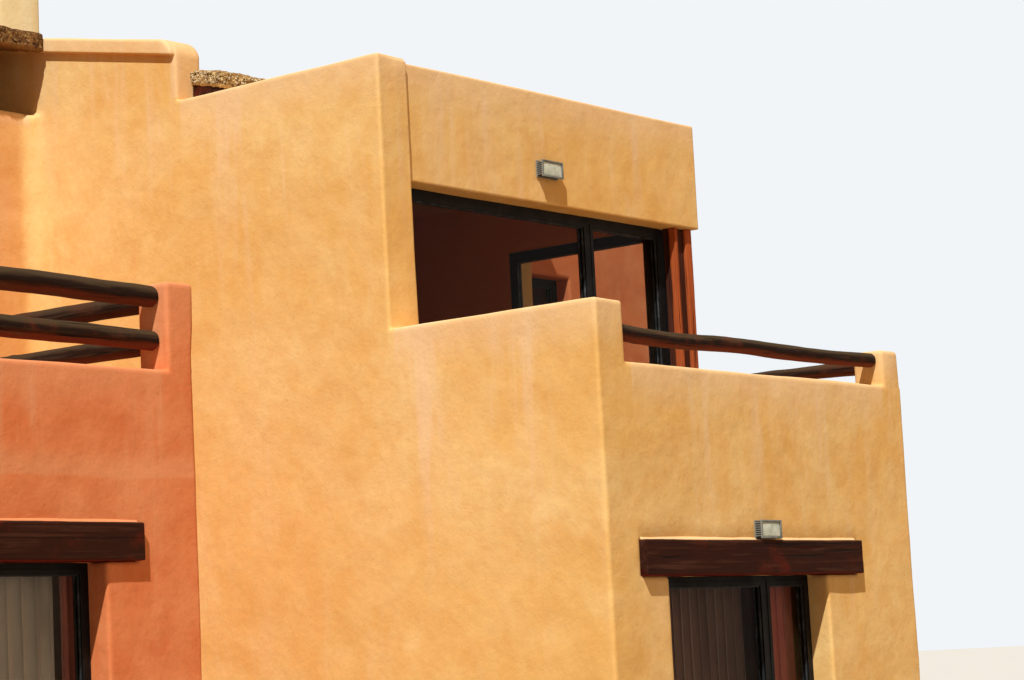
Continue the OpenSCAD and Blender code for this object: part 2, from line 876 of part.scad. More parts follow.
module red_ground_floor() {
  color("lightgray") place() {
    box([wing_left + wing_t, wing_y + front_t, 0],
        [wing_right - wing_t, block_y, wing_floor]);
    box([wing_door_start, wing_y, 0],
        [wing_door_end, wing_y + front_t + 1, wing_floor]);
  }
}

module red_terrace_floor() {
  color("lightgray") place()
    box([wing_left + wing_t, wing_y + front_t, storey_h - slab_t],
        [wing_right - wing_t, block_y, storey_h]);
}

module red_front_rails() {
  color("saddlebrown") place()
    for (i = [0 : 1])
      log([wing_left + wing_t, wing_y + front_t / 2, rail_z(i)],
          [wing_right - wing_t, wing_y + front_t / 2, rail_z(i)], rail_d,
          rail_d * rail_taper, [0, 0, rail_bow / 2 * (1 - 2 * i)]);
}

module red_side_rails() {
  color("saddlebrown") place()
    for (x = [wing_left + wing_t / 2, wing_right - wing_t / 2], i = [0 : 1])
      log([x, wing_y + front_t, rail_z(i)], [x, block_y, rail_z(i)], rail_d,
          rail_d * rail_taper, [rail_bow, 0, rail_bow * (1 - 2 * i)]);
}

module red_window_frame() {
  color("dimgray") place()
    frame(wing_door_start, wing_door_end, wing_y + pocket_d + 20, wing_floor,
          wing_head, frame_w, frame_w, wing_stile_x);
}

module red_glass() {
  color("lightblue") place()
    panes(wing_door_start, wing_door_end, wing_y + pocket_d + 20, wing_floor,
          wing_head, frame_w, frame_w, wing_stile_x);
}

left_wall();
right_wall();
gable_copings();
front_wall_left();
front_wall_right();
front_wall_over();
back_wall();
terrace_pier();
upper_fascia();
clerestory_wall();
ground_floor();
upper_floor();
flat_roof();
mud_roof();
roof_rafters();
ground_lintel();
terrace_front_log();
terrace_side_log();
corner_posts();
upper_window_frame();
upper_glass();
ground_window_frame();
ground_glass();
wall_lamps();
rear_front_wall();
rear_left_wall();
rear_floors();
canopy_roof();
canopy_frame();
chimney();
side_wing_walls();
rear_window_frames();
rear_glass();
red_front_wall_left();
red_front_wall_right();
red_front_wall_over();
red_left_wall();
red_right_wall();
red_piers();
red_lintel();
red_ground_floor();
red_terrace_floor();
red_front_rails();
red_side_rails();
red_window_frame();
red_glass();
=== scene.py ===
import json
import math
import random

import bmesh
import bpy
import numpy as np
from mathutils import Matrix, Vector, noise


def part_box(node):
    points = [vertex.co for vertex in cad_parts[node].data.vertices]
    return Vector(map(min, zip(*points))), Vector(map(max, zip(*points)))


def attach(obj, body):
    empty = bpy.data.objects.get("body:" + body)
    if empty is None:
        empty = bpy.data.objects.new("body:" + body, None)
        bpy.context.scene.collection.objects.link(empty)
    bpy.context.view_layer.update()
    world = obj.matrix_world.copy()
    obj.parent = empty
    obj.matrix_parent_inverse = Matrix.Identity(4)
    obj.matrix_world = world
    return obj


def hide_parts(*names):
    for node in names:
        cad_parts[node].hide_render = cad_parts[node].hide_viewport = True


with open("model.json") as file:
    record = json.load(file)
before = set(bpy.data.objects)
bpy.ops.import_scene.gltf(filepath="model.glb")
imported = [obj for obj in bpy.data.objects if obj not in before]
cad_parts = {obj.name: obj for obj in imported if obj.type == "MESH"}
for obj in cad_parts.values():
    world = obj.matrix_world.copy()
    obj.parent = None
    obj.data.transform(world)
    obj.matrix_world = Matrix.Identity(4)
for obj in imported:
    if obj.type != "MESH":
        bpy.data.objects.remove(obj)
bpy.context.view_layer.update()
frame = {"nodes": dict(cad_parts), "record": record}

# The looks of a two storey adobe house. House coordinates are metres from the
# outer front left corner of the ochre volume: +X right, +Y back, +Z up.

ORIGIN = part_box("left_wall")[0]


def near(node):
    """The lowest and highest corners of a CAD node, in house coordinates."""
    lo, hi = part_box(node)
    return tuple(lo - ORIGIN), tuple(hi - ORIGIN)


def solids(node):
    """The lowest and highest corners of each solid of a CAD node, in house coordinates."""
    mesh = frame["nodes"][node].data
    spots, first = {}, []
    for vertex in mesh.vertices:
        key = tuple(round(c, 4) for c in vertex.co)
        first.append(spots.setdefault(key, vertex.index))
    parent = list(range(len(first)))

    def root(i):
        while parent[i] != i:
            parent[i] = parent[parent[i]]
            i = parent[i]
        return i

    for edge in mesh.edges:
        a, b = (root(first[i]) for i in edge.vertices)
        parent[a] = b
    groups = {}
    for vertex in mesh.vertices:
        groups.setdefault(root(first[vertex.index]), []).append(vertex.co - ORIGIN)
    return sorted((tuple(min(c[i] for c in group) for i in range(3)),
                   tuple(max(c[i] for c in group) for i in range(3))) for group in groups.values())


# places and sizes that the CAD gives

LEFT, RIGHT, OVER, FASCIA, PIER, LINTEL, BACK, SIDE = (near(node) for node in (
    "left_wall", "right_wall", "front_wall_over", "upper_fascia", "terrace_pier", "ground_lintel",
    "back_wall", "side_wing_walls"))
BLOCK, REAR_LEFT, MUD_SLAB, CANOPY, CHIMNEY, CLERESTORY = (near(node) for node in (
    "rear_front_wall", "rear_left_wall", "mud_roof", "canopy_roof", "chimney", "clerestory_wall"))
RED_OVER, RED_PIER, RED_LEFT, RED_RIGHT, RED_LINTEL, RED_DOOR = (near("red_" + node) for node in (
    "front_wall_over", "piers", "left_wall", "right_wall", "lintel", "window_frame"))
GROUND_FRAME = near("ground_window_frame")
REAR_PANES = solids("rear_glass")
WALL_T = LEFT[1][0]
RIGHT_IN = RIGHT[0][0]
HOUSE_W = RIGHT[1][0]
HOUSE_D = LEFT[1][1]
FRONT_T = OVER[1][1]
PARAPET_TOP = OVER[1][2]
PIER_TOP = PIER[1][2]
BLOCK_TOP = BLOCK[1][2]
FASCIA_Z = FASCIA[0][2]
STOREY = near("upper_floor")[1][2]

# places and sizes that it has only in its source

SLOPE = math.tan(math.radians(11.2))
TERRACE_D = 2.27
LEFT_PARAPET_TOP = 4.49
ROOF_LINE = 6.97
ROOF_EDGE = ROOF_LINE + 0.036
GABLE_Y = 4.82
GABLE_TOP = 7.588
SIDE_LIGHT_Y = 4.47
FASCIA_BACK = 2.50
PIER_FOOT = 3.0
COPING_H = 0.145
SLAB_T = 0.17
CANOPY_T = 0.19
RAFTER_H = 0.12
FRAME_T = 0.08
FRAME_W = 0.09

# soft forms of the plaster

DEEP = -0.6  # walls go on below the ground, where their grid is cut
FOOT = -0.05
ARRIS = 0.03
FASCIA_ARRIS = 0.014
RED_ARRIS = 0.025
REAR_ARRIS = 0.04
OPENING_R = 0.004
FILLET = 0.20
LIP = 0.054
INNER_LIP = 0.015
GABLE_R = 0.15
GABLE_FOOT = 6.0
GABLE_IN = 0.07  # the gables are this much narrower at their front ends
GABLE_IN_END = 5.3
LIFT_Z = 7.03
FASCIA_RISE = 0.010
RED_BRIM = PARAPET_TOP + 0.035
RED_PIER_TOP = RED_PIER[1][2] + 0.03
PIER_FLARE = 0.045
SLAB_CORNER = 0.20

# camera, lights and floor

CAMERA_PLACE = (-17.75, -12.97, 1.5)
CAMERA_TURN = (52, 6.9, -3.0)
LENS, SENSOR = 93.16, 36
SUN_WAY = (0.515, 0.29, -0.80)
BOUNCE_WAY = (-0.15, 0.98, -0.10)
SKY_LIGHT, SKY_STRENGTH = (1.0, 0.80, 0.65, 1), 0.23
SKY_SEEN = (0.88, 0.91, 0.94, 1)
MIRROR_SHARE = 0.25
FLOOR_SIZE, FLOOR_Z = 600, -0.002


def camera():
    yaw, pitch, roll = (math.radians(a) for a in CAMERA_TURN)
    forward = Vector((math.sin(yaw) * math.cos(pitch),
                      math.cos(yaw) * math.cos(pitch), math.sin(pitch)))
    level = Vector((math.cos(yaw), -math.sin(yaw), 0))
    up = level.cross(forward)
    side = level * math.cos(roll) + up * math.sin(roll)
    head = up * math.cos(roll) - level * math.sin(roll)
    data = bpy.data.cameras.new("camera")
    data.lens, data.sensor_width = LENS, SENSOR
    data.clip_end = 1000
    cam = bpy.data.objects.new("camera", data)
    bpy.context.scene.collection.objects.link(cam)
    turn = Matrix((side, head, -forward)).transposed().to_4x4()
    cam.matrix_world = Matrix.Translation(ORIGIN + Vector(CAMERA_PLACE)) @ turn
    bpy.context.scene.camera = cam


def feed(tree, socket, value):
    """Links an output to a socket, or gives the socket a value."""
    if isinstance(value, bpy.types.NodeSocket):
        tree.links.new(value, socket)
    else:
        socket.default_value = value


def add_node(tree, kind, output, inputs=(), **settings):
    """One output of a new shader node, with its settings made and its inputs fed."""
    made = tree.nodes.new("ShaderNode" + kind)
    for key, value in settings.items():
        setattr(made, key, value)
    for socket, value in dict(inputs).items():
        feed(tree, made.inputs[socket], value)
    return made.outputs[output]


def looked_at(tree):
    """1 where a view ray ends, also through glass, a little in a mirror image, and 0 for light."""
    rays = tree.nodes.new("ShaderNodeLightPath").outputs
    most = add_node(tree, "Math", 0, {0: rays["Is Glossy Ray"], 1: MIRROR_SHARE}, operation="MULTIPLY")
    for ray in ("Is Camera Ray", "Is Transmission Ray"):
        most = add_node(tree, "Math", 0, {0: rays[ray], 1: most}, operation="MAXIMUM")
    return most


def sun(name, energy, spread, colour, way):
    data = bpy.data.lights.new(name, "SUN")
    data.energy, data.angle, data.color = energy, math.radians(spread), colour
    lamp = bpy.data.objects.new(name, data)
    lamp.rotation_euler = Vector(way).to_track_quat("-Z", "Y").to_euler()
    bpy.context.scene.collection.objects.link(lamp)


def lights():
    sun("sun", 4.15, 1.0, (0.98, 1.0, 0.98), SUN_WAY)
    sun("ground_bounce", 0.64, 70, (1.0, 0.60, 0.28), BOUNCE_WAY)
    world = bpy.data.worlds.new("world")
    bpy.context.scene.world = world
    world.use_nodes = True
    tree = world.node_tree
    lit = tree.nodes["Background"]
    lit.inputs["Color"].default_value = SKY_LIGHT
    lit.inputs["Strength"].default_value = SKY_STRENGTH
    seen = add_node(tree, "Background", 0, {"Color": SKY_SEEN, "Strength": 1.0})
    mixed = add_node(tree, "MixShader", 0, {0: looked_at(tree), 1: lit.outputs[0], 2: seen})
    tree.links.new(mixed, tree.nodes["World Output"].inputs["Surface"])


def floor():
    bpy.ops.mesh.primitive_plane_add(size=FLOOR_SIZE, location=(0, 0, FLOOR_Z))
    ground = bpy.context.object
    ground.name = "studio_floor"
    look = Look("studio_floor", rgb(214, 210, 203), roughness=0.9)
    look.over(look.noise(0.4, 3), rgb(222, 218, 211))
    look.colour = look.mix(looked_at(look.tree), rgb(140, 126, 110), look.colour)
    ground.data.materials.append(look.done())


# materials

def rgb(r, g, b):
    """A colour given as it looks on a screen, made linear."""
    def linear(c):
        c /= 255
        return c / 12.92 if c <= 0.04045 else ((c + 0.055) / 1.055) ** 2.4
    return (linear(r), linear(g), linear(b), 1)


def darker(colour, *shares):
    """A linear colour with its three channels scaled."""
    return tuple(c * k for c, k in zip(colour, shares)) + (1,)


class Look:
    """A node material under construction, with the colour so far and its chain of bumps."""

    def __init__(self, name, colour, **fixed):
        self.material = bpy.data.materials.new(name)
        self.material.use_nodes = True
        self.tree = self.material.node_tree
        self.shader = self.tree.nodes["Principled BSDF"]
        for key, value in fixed.items():
            self.shader.inputs[key.replace("_", " ").title().replace("Ior", "IOR")].default_value = value
        self.place = self.add("TexCoord", "Object")
        self.colour = colour
        self.bumps = None

    def add(self, kind, output, inputs=(), **settings):
        return add_node(self.tree, kind, output, inputs, **settings)

    def noise(self, scale, detail=4, rough=0.55, stretch=None, distortion=0.0):
        place = self.place
        if stretch is not None:
            place = self.add("VectorMath", 0, {0: place, 1: stretch}, operation="MULTIPLY")
        return self.add("TexNoise", "Fac", {"Scale": scale, "Detail": detail, "Roughness": rough,
                                            "Distortion": distortion, "Vector": place})

    def cells(self, scale, output="Distance"):
        return self.add("TexVoronoi", output, {"Scale": scale, "Vector": self.place})

    def attribute(self, name):
        return self.add("Attribute", "Fac", attribute_name=name)

    def axis(self, which):
        return self.add("SeparateXYZ", which, {0: self.place})

    def facing_up(self):
        return self.add("SeparateXYZ", "Z", {0: self.add("NewGeometry", "Normal")})

    def ramp(self, value, low, high, to_low=0.0, to_high=1.0):
        return self.add("MapRange", "Result", {
            "Value": value, "From Min": low, "From Max": high, "To Min": to_low, "To Max": to_high},
            interpolation_type="SMOOTHSTEP")

    def plus(self, a, b):
        return self.add("Math", 0, {0: a, 1: b}, operation="ADD")

    def times(self, a, b):
        return self.add("Math", 0, {0: a, 1: b}, operation="MULTIPLY")

    def mix(self, factor, a, b):
        return self.add("Mix", 2, {0: factor, 6: a, 7: b}, data_type="RGBA")

    def over(self, factor, colour):
        """Lays a colour over the one so far."""
        self.colour = self.mix(factor, self.colour, colour)

    def lay(self, colour, value, *limits):
        """Lays a colour over the one so far, as a ramp of a value says."""
        self.over(self.ramp(value, *limits), colour)

    def bump(self, height, depth):
        inputs = {"Distance": depth, "Height": height}
        if self.bumps is not None:
            inputs["Normal"] = self.bumps
        self.bumps = self.add("Bump", "Normal", inputs)

    def done(self, roughness=None):
        for key, value in (("Base Color", self.colour), ("Roughness", roughness), ("Normal", self.bumps)):
            if value is not None:
                feed(self.tree, self.shader.inputs[key], value)
        return self.material


def plaster(name, main, light, deep, streak, wash, inside=None, coat=None):
    """Hand trowelled earth plaster, washed below its tops; coat is the height where a new coat starts."""
    look = Look(name, main, roughness=0.93, specular_ior_level=0.2)
    drop = look.attribute("drop")
    look.lay(light, look.noise(0.5, 5, 0.62, distortion=0.8), 0.36, 0.66)
    look.lay(deep, look.noise(3.4, 8, 0.70), 0.34, 0.66, 0.0, 0.44)
    look.lay(deep, look.noise(1.5, 6, 0.72, (1, 1, 0.6)), 0.53, 0.70, 0.0, 0.34)
    look.lay(light, look.noise(1.3, 5, 0.6, (1, 1, 1.3), 0.6), 0.42, 0.64, 0.0, 0.28)
    run = look.ramp(look.noise(1.0, 7, 0.62, (3.4, 3.4, 0.36), 0.4), 0.49, 0.72)
    look.over(look.times(run, look.ramp(drop, 0.05, 2.6, 0.62, 0.16)), streak)
    dark_run = look.ramp(look.noise(1.0, 7, 0.7, (7, 7, 0.5)), 0.60, 0.78)
    look.over(look.times(dark_run, look.ramp(drop, 0.0, 1.8, 0.35, 0.06)), deep)
    edge = look.plus(drop, look.times(look.noise(3.5, 6, 0.65), 0.5))
    look.lay(wash, edge, 0.22, 0.75, 0.62, 0.0)
    if coat is not None:
        level = look.plus(look.axis("Z"), look.times(look.noise(1.4, 4, 0.6), 0.10))
        start = look.ramp(level, coat + 0.03, coat + 0.07, 0.0, 0.36)
        look.over(look.times(start, look.ramp(level, coat + 0.12, coat + 0.30, 1.0, 0.0)), streak)
    grain = look.noise(38, 6, 0.7)
    look.lay(darker(deep, 0.62, 0.55, 0.5), grain, 0.30, 0.44, 0.22, 0.0)
    pits = look.ramp(look.cells(14), 0.015, 0.07, 0.55, 0.0)
    look.over(look.times(pits, look.ramp(look.noise(2.2, 3), 0.50, 0.60)), darker(deep, 0.4, 0.33, 0.3))
    look.lay(darker(deep, 0.8, 0.75, 0.75), look.axis("Z"), 0.0, 0.5, 0.30, 0.0)
    if inside is not None:
        look.over(look.attribute("inner"), inside)
    look.bump(look.noise(2.4, 4, 0.5), 0.020)
    look.bump(look.noise(7, 4, 0.55), 0.004)
    look.bump(grain, 0.0025)
    return look.done()


def timber(name, top, side, under, grain_axis):
    """Weathered wood with its grain along one axis, grey above, dark at the side, and red below, where the
    red is painted bounce light.
    """
    look = Look(name, side, roughness=0.8, specular_ior_level=0.12)
    along = [1.0 if axis == grain_axis else 24.0 for axis in "XYZ"]
    cracks = [0.6 if axis == grain_axis else 24.0 * 1.8 for axis in "XYZ"]
    fibre = look.noise(1.0, 6, 0.62, along, 0.5)
    patch = look.noise(1.6, 5, 0.65)
    facing = look.plus(look.facing_up(), look.times(patch, 0.5))
    look.lay(top, facing, 0.35, 0.80)
    # painted bounce light: faces that look down take the under colour, as if lit from below
    look.lay(under, facing, -0.45, 0.05, 1.0, 0.0)
    lighter = tuple(min(1.0, c * 1.7 + 0.004) for c in top[:3]) + (1,)
    look.lay(lighter, fibre, 0.50, 0.70, 0.0, 0.55)
    look.lay(under, patch, 0.52, 0.68, 0.0, 0.45)
    check = look.ramp(look.noise(1.0, 3, 0.5, cracks), 0.31, 0.37)
    look.colour = look.mix(check, (0.008, 0.005, 0.003, 1), look.colour)
    look.bump(fibre, 0.005)
    look.bump(check, 0.005)
    return look.done(look.ramp(fibre, 0.3, 0.7, 0.68, 0.9))


def mud(name, shade):
    """Rough roof earth with straw and fine gravel in it, pale at its underside; shade darkens it."""
    def tone(*c):
        return rgb(*(v * k for v, k in zip(c, shade)))

    look = Look(name, tone(112, 76, 42), roughness=0.96, specular_ior_level=0.15)
    lumps = look.noise(14, 8, 0.72)
    look.lay(tone(206, 166, 112), lumps, 0.36, 0.64)
    gravel = look.cells(55, "Color")
    pale, dark = (look.add("SeparateColor", channel, {0: gravel}) for channel in (0, 1))
    look.lay(tone(232, 214, 164), pale, 0.55, 0.95, 0.0, 0.7)
    look.lay(tone(74, 50, 32), dark, 0.62, 0.95, 0.0, 0.8)
    look.lay(tone(218, 190, 122), look.noise(1.0, 3, 0.6, (26, 90, 70), 1.5), 0.60, 0.66, 0.0, 0.7)
    look.lay(tone(178, 140, 98), look.facing_up(), 0.2, 0.8, 0.0, 0.55)
    low = look.plus(look.attribute("drop"), look.times(look.noise(12, 3), 0.03))
    look.lay(tone(216, 186, 138), low, 0.150, 0.158, 0.0, 0.8)
    look.bump(lumps, 0.03)
    look.bump(look.cells(55), 0.012)
    return look.done()


def plain(name, tone, layers, grain, depth, **fixed):
    """A tone under layers, each a colour, its noise and its limits, with one fine bump."""
    look = Look(name, tone, **fixed)
    for colour, spots, limits in layers:
        look.lay(colour, look.noise(*spots), *limits)
    look.bump(look.noise(*grain), depth)
    return look.done()


def pebble(name, dark, pale):
    return plain(name, dark, [(pale, (7, 2), (0.35, 0.65)), (dark, (40, 4), (0.4, 0.7))],
                 (90, 4), 0.002, roughness=0.9, specular_ior_level=0.2)


def painted(name, tone, worn, roughness, shine=0.3):
    look = Look(name, tone, specular_ior_level=shine)
    look.lay(worn, look.noise(9, 6, 0.65), 0.48, 0.72)
    look.bump(look.noise(70, 3), 0.0006)
    return look.done(look.ramp(look.noise(4, 5), 0.3, 0.7, roughness - 0.08, roughness + 0.15))


def glass():
    # painted reflection: the dark green base and its lighter green mottle stand in for dark foliage mirrored
    # in the panes
    look = Look("window_glass", rgb(8, 13, 8), ior=1.5, specular_ior_level=0.5, alpha=0.13)
    look.lay(rgb(26, 34, 22), look.noise(1.1, 5, 0.6), 0.40, 0.70)
    return look.done(look.ramp(look.noise(5, 4), 0.3, 0.8, 0.02, 0.07))


def cloth(name, tone, fold_shade):
    look = Look(name, tone, roughness=0.9, sheen_weight=0.25)
    # painted shade: the fold colour is laid in long upright streaks, as the shade in the folds
    look.lay(fold_shade, look.noise(2.2, 5, stretch=(1, 1, 0.25)), 0.35, 0.68)
    across, along = (look.noise(1.0, 1, stretch=threads) for threads in ((420, 420, 30), (30, 30, 420)))
    look.bump(look.times(across, along), 0.0008)
    return look.done()


OCHRE = plaster("ochre_plaster", rgb(240, 188, 110), rgb(247, 206, 138), rgb(230, 166, 84),
                rgb(247, 210, 168), rgb(245, 204, 156), inside=rgb(214, 122, 66))
RED = plaster("terracotta_plaster", rgb(230, 130, 76), rgb(237, 148, 96), rgb(216, 105, 55),
              rgb(240, 168, 120), rgb(236, 154, 106), coat=3.12)
CREAM = plaster("cream_plaster", rgb(250, 232, 182), rgb(252, 238, 194), rgb(246, 222, 164),
                rgb(253, 244, 212), rgb(252, 240, 204))
# each timber's third colour is the red of its underside, painted bounce light
LOG_X = timber("log_wood_x", rgb(70, 54, 36), rgb(36, 20, 12), rgb(112, 48, 28), "X")
LOG_Y = timber("log_wood_y", rgb(68, 50, 34), rgb(40, 22, 13), rgb(88, 42, 27), "Y")
BEAM_X = timber("dark_timber_x", rgb(68, 38, 25), rgb(50, 21, 10), rgb(112, 32, 16), "X")
BEAM_Y = timber("dark_timber_y", rgb(84, 54, 36), rgb(58, 30, 18), rgb(104, 44, 24), "Y")
# BEAM_Z is the wood of the dark boards set between the corner posts as painted shade
BEAM_Z = timber("dark_timber_z", rgb(84, 44, 30), rgb(66, 32, 20), rgb(80, 34, 20), "Z")
POST = timber("post_timber", rgb(158, 80, 42), rgb(172, 84, 42), rgb(146, 66, 30), "Z")
MUD = mud("roof_mud", (1.10, 1.08, 1.02))
CANOPY_MUD = mud("canopy_mud", (0.74, 0.64, 0.52))
PEBBLE = pebble("roof_pebbles", rgb(134, 106, 74), rgb(236, 218, 176))
CANOPY_PEBBLE = pebble("canopy_pebbles", rgb(84, 56, 34), rgb(170, 132, 88))
STRAW = plain("roof_straw", rgb(206, 172, 104), [(rgb(166, 126, 66), (5, 3), (0.35, 0.65))],
              (200, 2), 0.0006, roughness=0.7)
SCREED = plain("floor_screed", rgb(176, 142, 104),
               [(rgb(200, 166, 124), (1.2, 6, 0.62), (0.35, 0.66)),
                (rgb(126, 98, 72), (60, 4), (0.32, 0.45, 0.35, 0.0))], (8, 6), 0.006, roughness=0.85)
FRAME_PAINT = painted("dark_frame", rgb(14, 13, 13), rgb(26, 25, 24), 0.5, 0.18)
BEAD = painted("frame_beads", rgb(44, 47, 50), rgb(88, 94, 98), 0.45)
LAMP_METAL = painted("lamp_metal", rgb(132, 134, 128), rgb(96, 98, 94), 0.4)
LAMP_DARK = painted("lamp_housing", rgb(46, 48, 48), rgb(70, 72, 70), 0.5)
LAMP_GLASS = plain("lamp_glass", rgb(188, 196, 178),
                   [(rgb(224, 228, 208), (9, 4), (0.35, 0.7)),
                    (rgb(150, 140, 112), (26, 6, 0.7), (0.5, 0.7, 0.0, 0.5))],
                   (1.0, 2, 0.55, (260, 260, 8)), 0.0010, roughness=0.28, specular_ior_level=0.5,
                   coat_weight=0.4)
GLASS = glass()
# the second colour of each curtain is the painted shade of its folds
GREY_CLOTH = cloth("grey_curtain", rgb(216, 210, 198), rgb(172, 166, 154))
BROWN_CLOTH = cloth("brown_curtain", rgb(142, 112, 98), rgb(104, 80, 70))
ROSE_CLOTH = cloth("rose_curtain", rgb(228, 138, 116), rgb(192, 104, 88))
ROD_METAL = painted("curtain_rod_metal", rgb(120, 104, 84), rgb(84, 70, 54), 0.35)

# the materials of each slot of the record, first the one that its CAD nodes get
SLOTS = {"ochre_plaster": [OCHRE], "terracotta_plaster": [RED], "cream_plaster": [CREAM],
         "floor_screed": [SCREED], "window_glass": [GLASS], "log_wood": [LOG_X, LOG_Y],
         "roof_mud": [MUD, CANOPY_MUD, PEBBLE, CANOPY_PEBBLE, STRAW],
         "dark_timber": [BEAM_X, BEAM_Y, BEAM_Z, POST], "dark_frame": [FRAME_PAINT, BEAD],
         "lamp_metal": [LAMP_METAL, LAMP_DARK, LAMP_GLASS]}
SLOT_OF = {material.name: slot for slot, materials in SLOTS.items() for material in materials}


# adobe forms: a signed distance field of the walls, meshed on a grid that is
# fine near the faces and coarse between them

LEAST_STEP = 0.009
SLOPE_STEP = 0.004
NEAR, FAR = 0.05, 9.0


def block(p, lo, hi, r):
    q = [np.abs(p[i] - (lo[i] + hi[i]) / 2) - (hi[i] - lo[i]) / 2 + r for i in range(3)]
    outside = np.sqrt(sum(np.maximum(c, 0) ** 2 for c in q))
    return outside + np.minimum(np.maximum(np.maximum(q[0], q[1]), q[2]), 0) - r


def smooth_max(a, b, k):
    h = np.maximum(k - np.abs(a - b), 0) / k
    return np.maximum(a, b) + h * h * k / 4


def cut(mass, p, holes, soft=0.03):
    """A mass less its openings; soft is how far their arrises are rounded."""
    for lo, hi in holes:
        mass = smooth_max(mass, -block(p, lo, hi, OPENING_R), soft)
    return mass


def lines(lo, hi, marks, fine=0.024, reach=3, coarse=0.24):
    """Grid lines from lo to hi, close together near the marks, which may give their own step."""
    spots = [lo, hi]
    for mark in marks:
        step, rows = fine, reach
        if isinstance(mark, tuple):
            mark, step, rows = mark
        spots += [mark + (k + 0.5) * step for k in range(-rows, rows)]
    spots = sorted(s for s in spots if lo <= s <= hi)
    kept = [spots[0]]
    for s in spots[1:]:
        gap = s - kept[-1]
        if gap > LEAST_STEP:
            parts = math.ceil(gap / coarse)
            kept += [kept[-1] + gap * k / parts for k in range(1, parts + 1)]
    return np.array(kept)


def surface_net(axes, field):
    """Vertices and quads of the zero surface of field on a grid."""
    d = field(np.meshgrid(*axes, indexing="ij")).astype(np.float32)
    inside = d < 0
    shape = tuple(n - 1 for n in d.shape)
    total = np.zeros(shape + (3,))
    count = np.zeros(shape)
    starts = np.meshgrid(*[a[:-1] for a in axes], indexing="ij")
    steps = np.meshgrid(*[np.diff(a) for a in axes], indexing="ij")
    for axis in range(3):
        u, v = [i for i in range(3) if i != axis]
        for i, j in ((0, 0), (0, 1), (1, 0), (1, 1)):
            low = [slice(None)] * 3
            low[u] = slice(i, d.shape[u] - 1 + i)
            low[v] = slice(j, d.shape[v] - 1 + j)
            high = list(low)
            low[axis], high[axis] = slice(0, -1), slice(1, None)
            a, b = d[tuple(low)], d[tuple(high)]
            cross = (a < 0) != (b < 0)
            share = {u: i, v: j, axis: np.where(cross, a / np.where(cross, a - b, 1), 0)}
            for k in range(3):
                total[..., k] += np.where(cross, starts[k] + steps[k] * share[k], 0)
            count += cross
    used = count > 0
    index = np.full(shape, -1)
    index[used] = np.arange(used.sum())
    verts = total[used] / count[used][:, None]
    quads = []
    for axis in range(3):
        u, v = [i for i in range(3) if i != axis]
        low = [slice(1, -1)] * 3
        high = [slice(1, -1)] * 3
        low[axis], high[axis] = slice(0, -1), slice(1, None)
        a, b = inside[tuple(low)], inside[tuple(high)]
        where = np.argwhere(a != b)
        corners = []
        for du, dv in ((0, 0), (1, 0), (1, 1), (0, 1)):
            c = where.copy()
            c[:, u] += du
            c[:, v] += dv
            corners.append(index[tuple(c.T)])
        quad = np.stack(corners, 1)
        out = a[tuple(where.T)]
        if axis == 1:
            out = ~out
        quad[~out] = quad[~out][:, ::-1]
        quads.append(quad)
    return verts, np.concatenate(quads)


def gradient(points, field):
    slopes = []
    for step in np.eye(3) * SLOPE_STEP:
        slopes.append(field((points + step).T) - field((points - step).T))
    g = np.stack(slopes, 1)
    return g / np.maximum(np.linalg.norm(g, axis=1), 1e-9)[:, None]


def wave(points, scale, shift):
    return np.array([noise.noise(Vector(p) * scale + Vector((shift, 0, 0))) for p in points])


def mesh_piece(name, verts, faces, material, replaced=(), smooth=True):
    """A piece that rides on the root, given in house coordinates, with the slot of its material."""
    mesh = bpy.data.meshes.new(name)
    mesh.from_pydata([tuple(v) for v in np.array(verts) + np.array(ORIGIN)], [],
                     [tuple(int(i) for i in f) for f in faces])
    mesh.materials.append(material)
    mesh.polygons.foreach_set("use_smooth", [smooth] * len(mesh.polygons))
    mesh.update()
    piece = bpy.data.objects.new(name, mesh)
    bpy.context.scene.collection.objects.link(piece)
    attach(piece, "root")
    if replaced:
        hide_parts(*replaced)
    return piece


def keep_values(piece, name, values):
    """Gives a piece a number at each vertex, which its material reads."""
    layer = piece.data.attributes.new(name, "FLOAT", "POINT")
    layer.data.foreach_set("value", values.astype(np.float32))


def drop_below(x, y, z, tops, gabled):
    """How far each vertex lies below the top of its wall; the walls under a coping start anew below it."""
    height = np.full(len(z), -FAR)
    for x0, y0, x1, y1, top in tops:
        over = (x > x0 - NEAR) & (x < x1 + NEAR) & (y > y0 - NEAR) & (y < y1 + NEAR)
        height = np.where(over, np.maximum(height, top(y) if callable(top) else top), height)
    drop = np.clip(height - z, 0, FAR)
    if gabled:
        drop += 0.5 * ((y > GABLE_Y + 0.02) & (drop > COPING_H - 0.01))
        end = (np.abs(y - GABLE_Y) < NEAR) & (z > ROOF_EDGE + 0.02)
        drop = np.where(end, np.minimum(drop, 0.10), drop)
    return drop


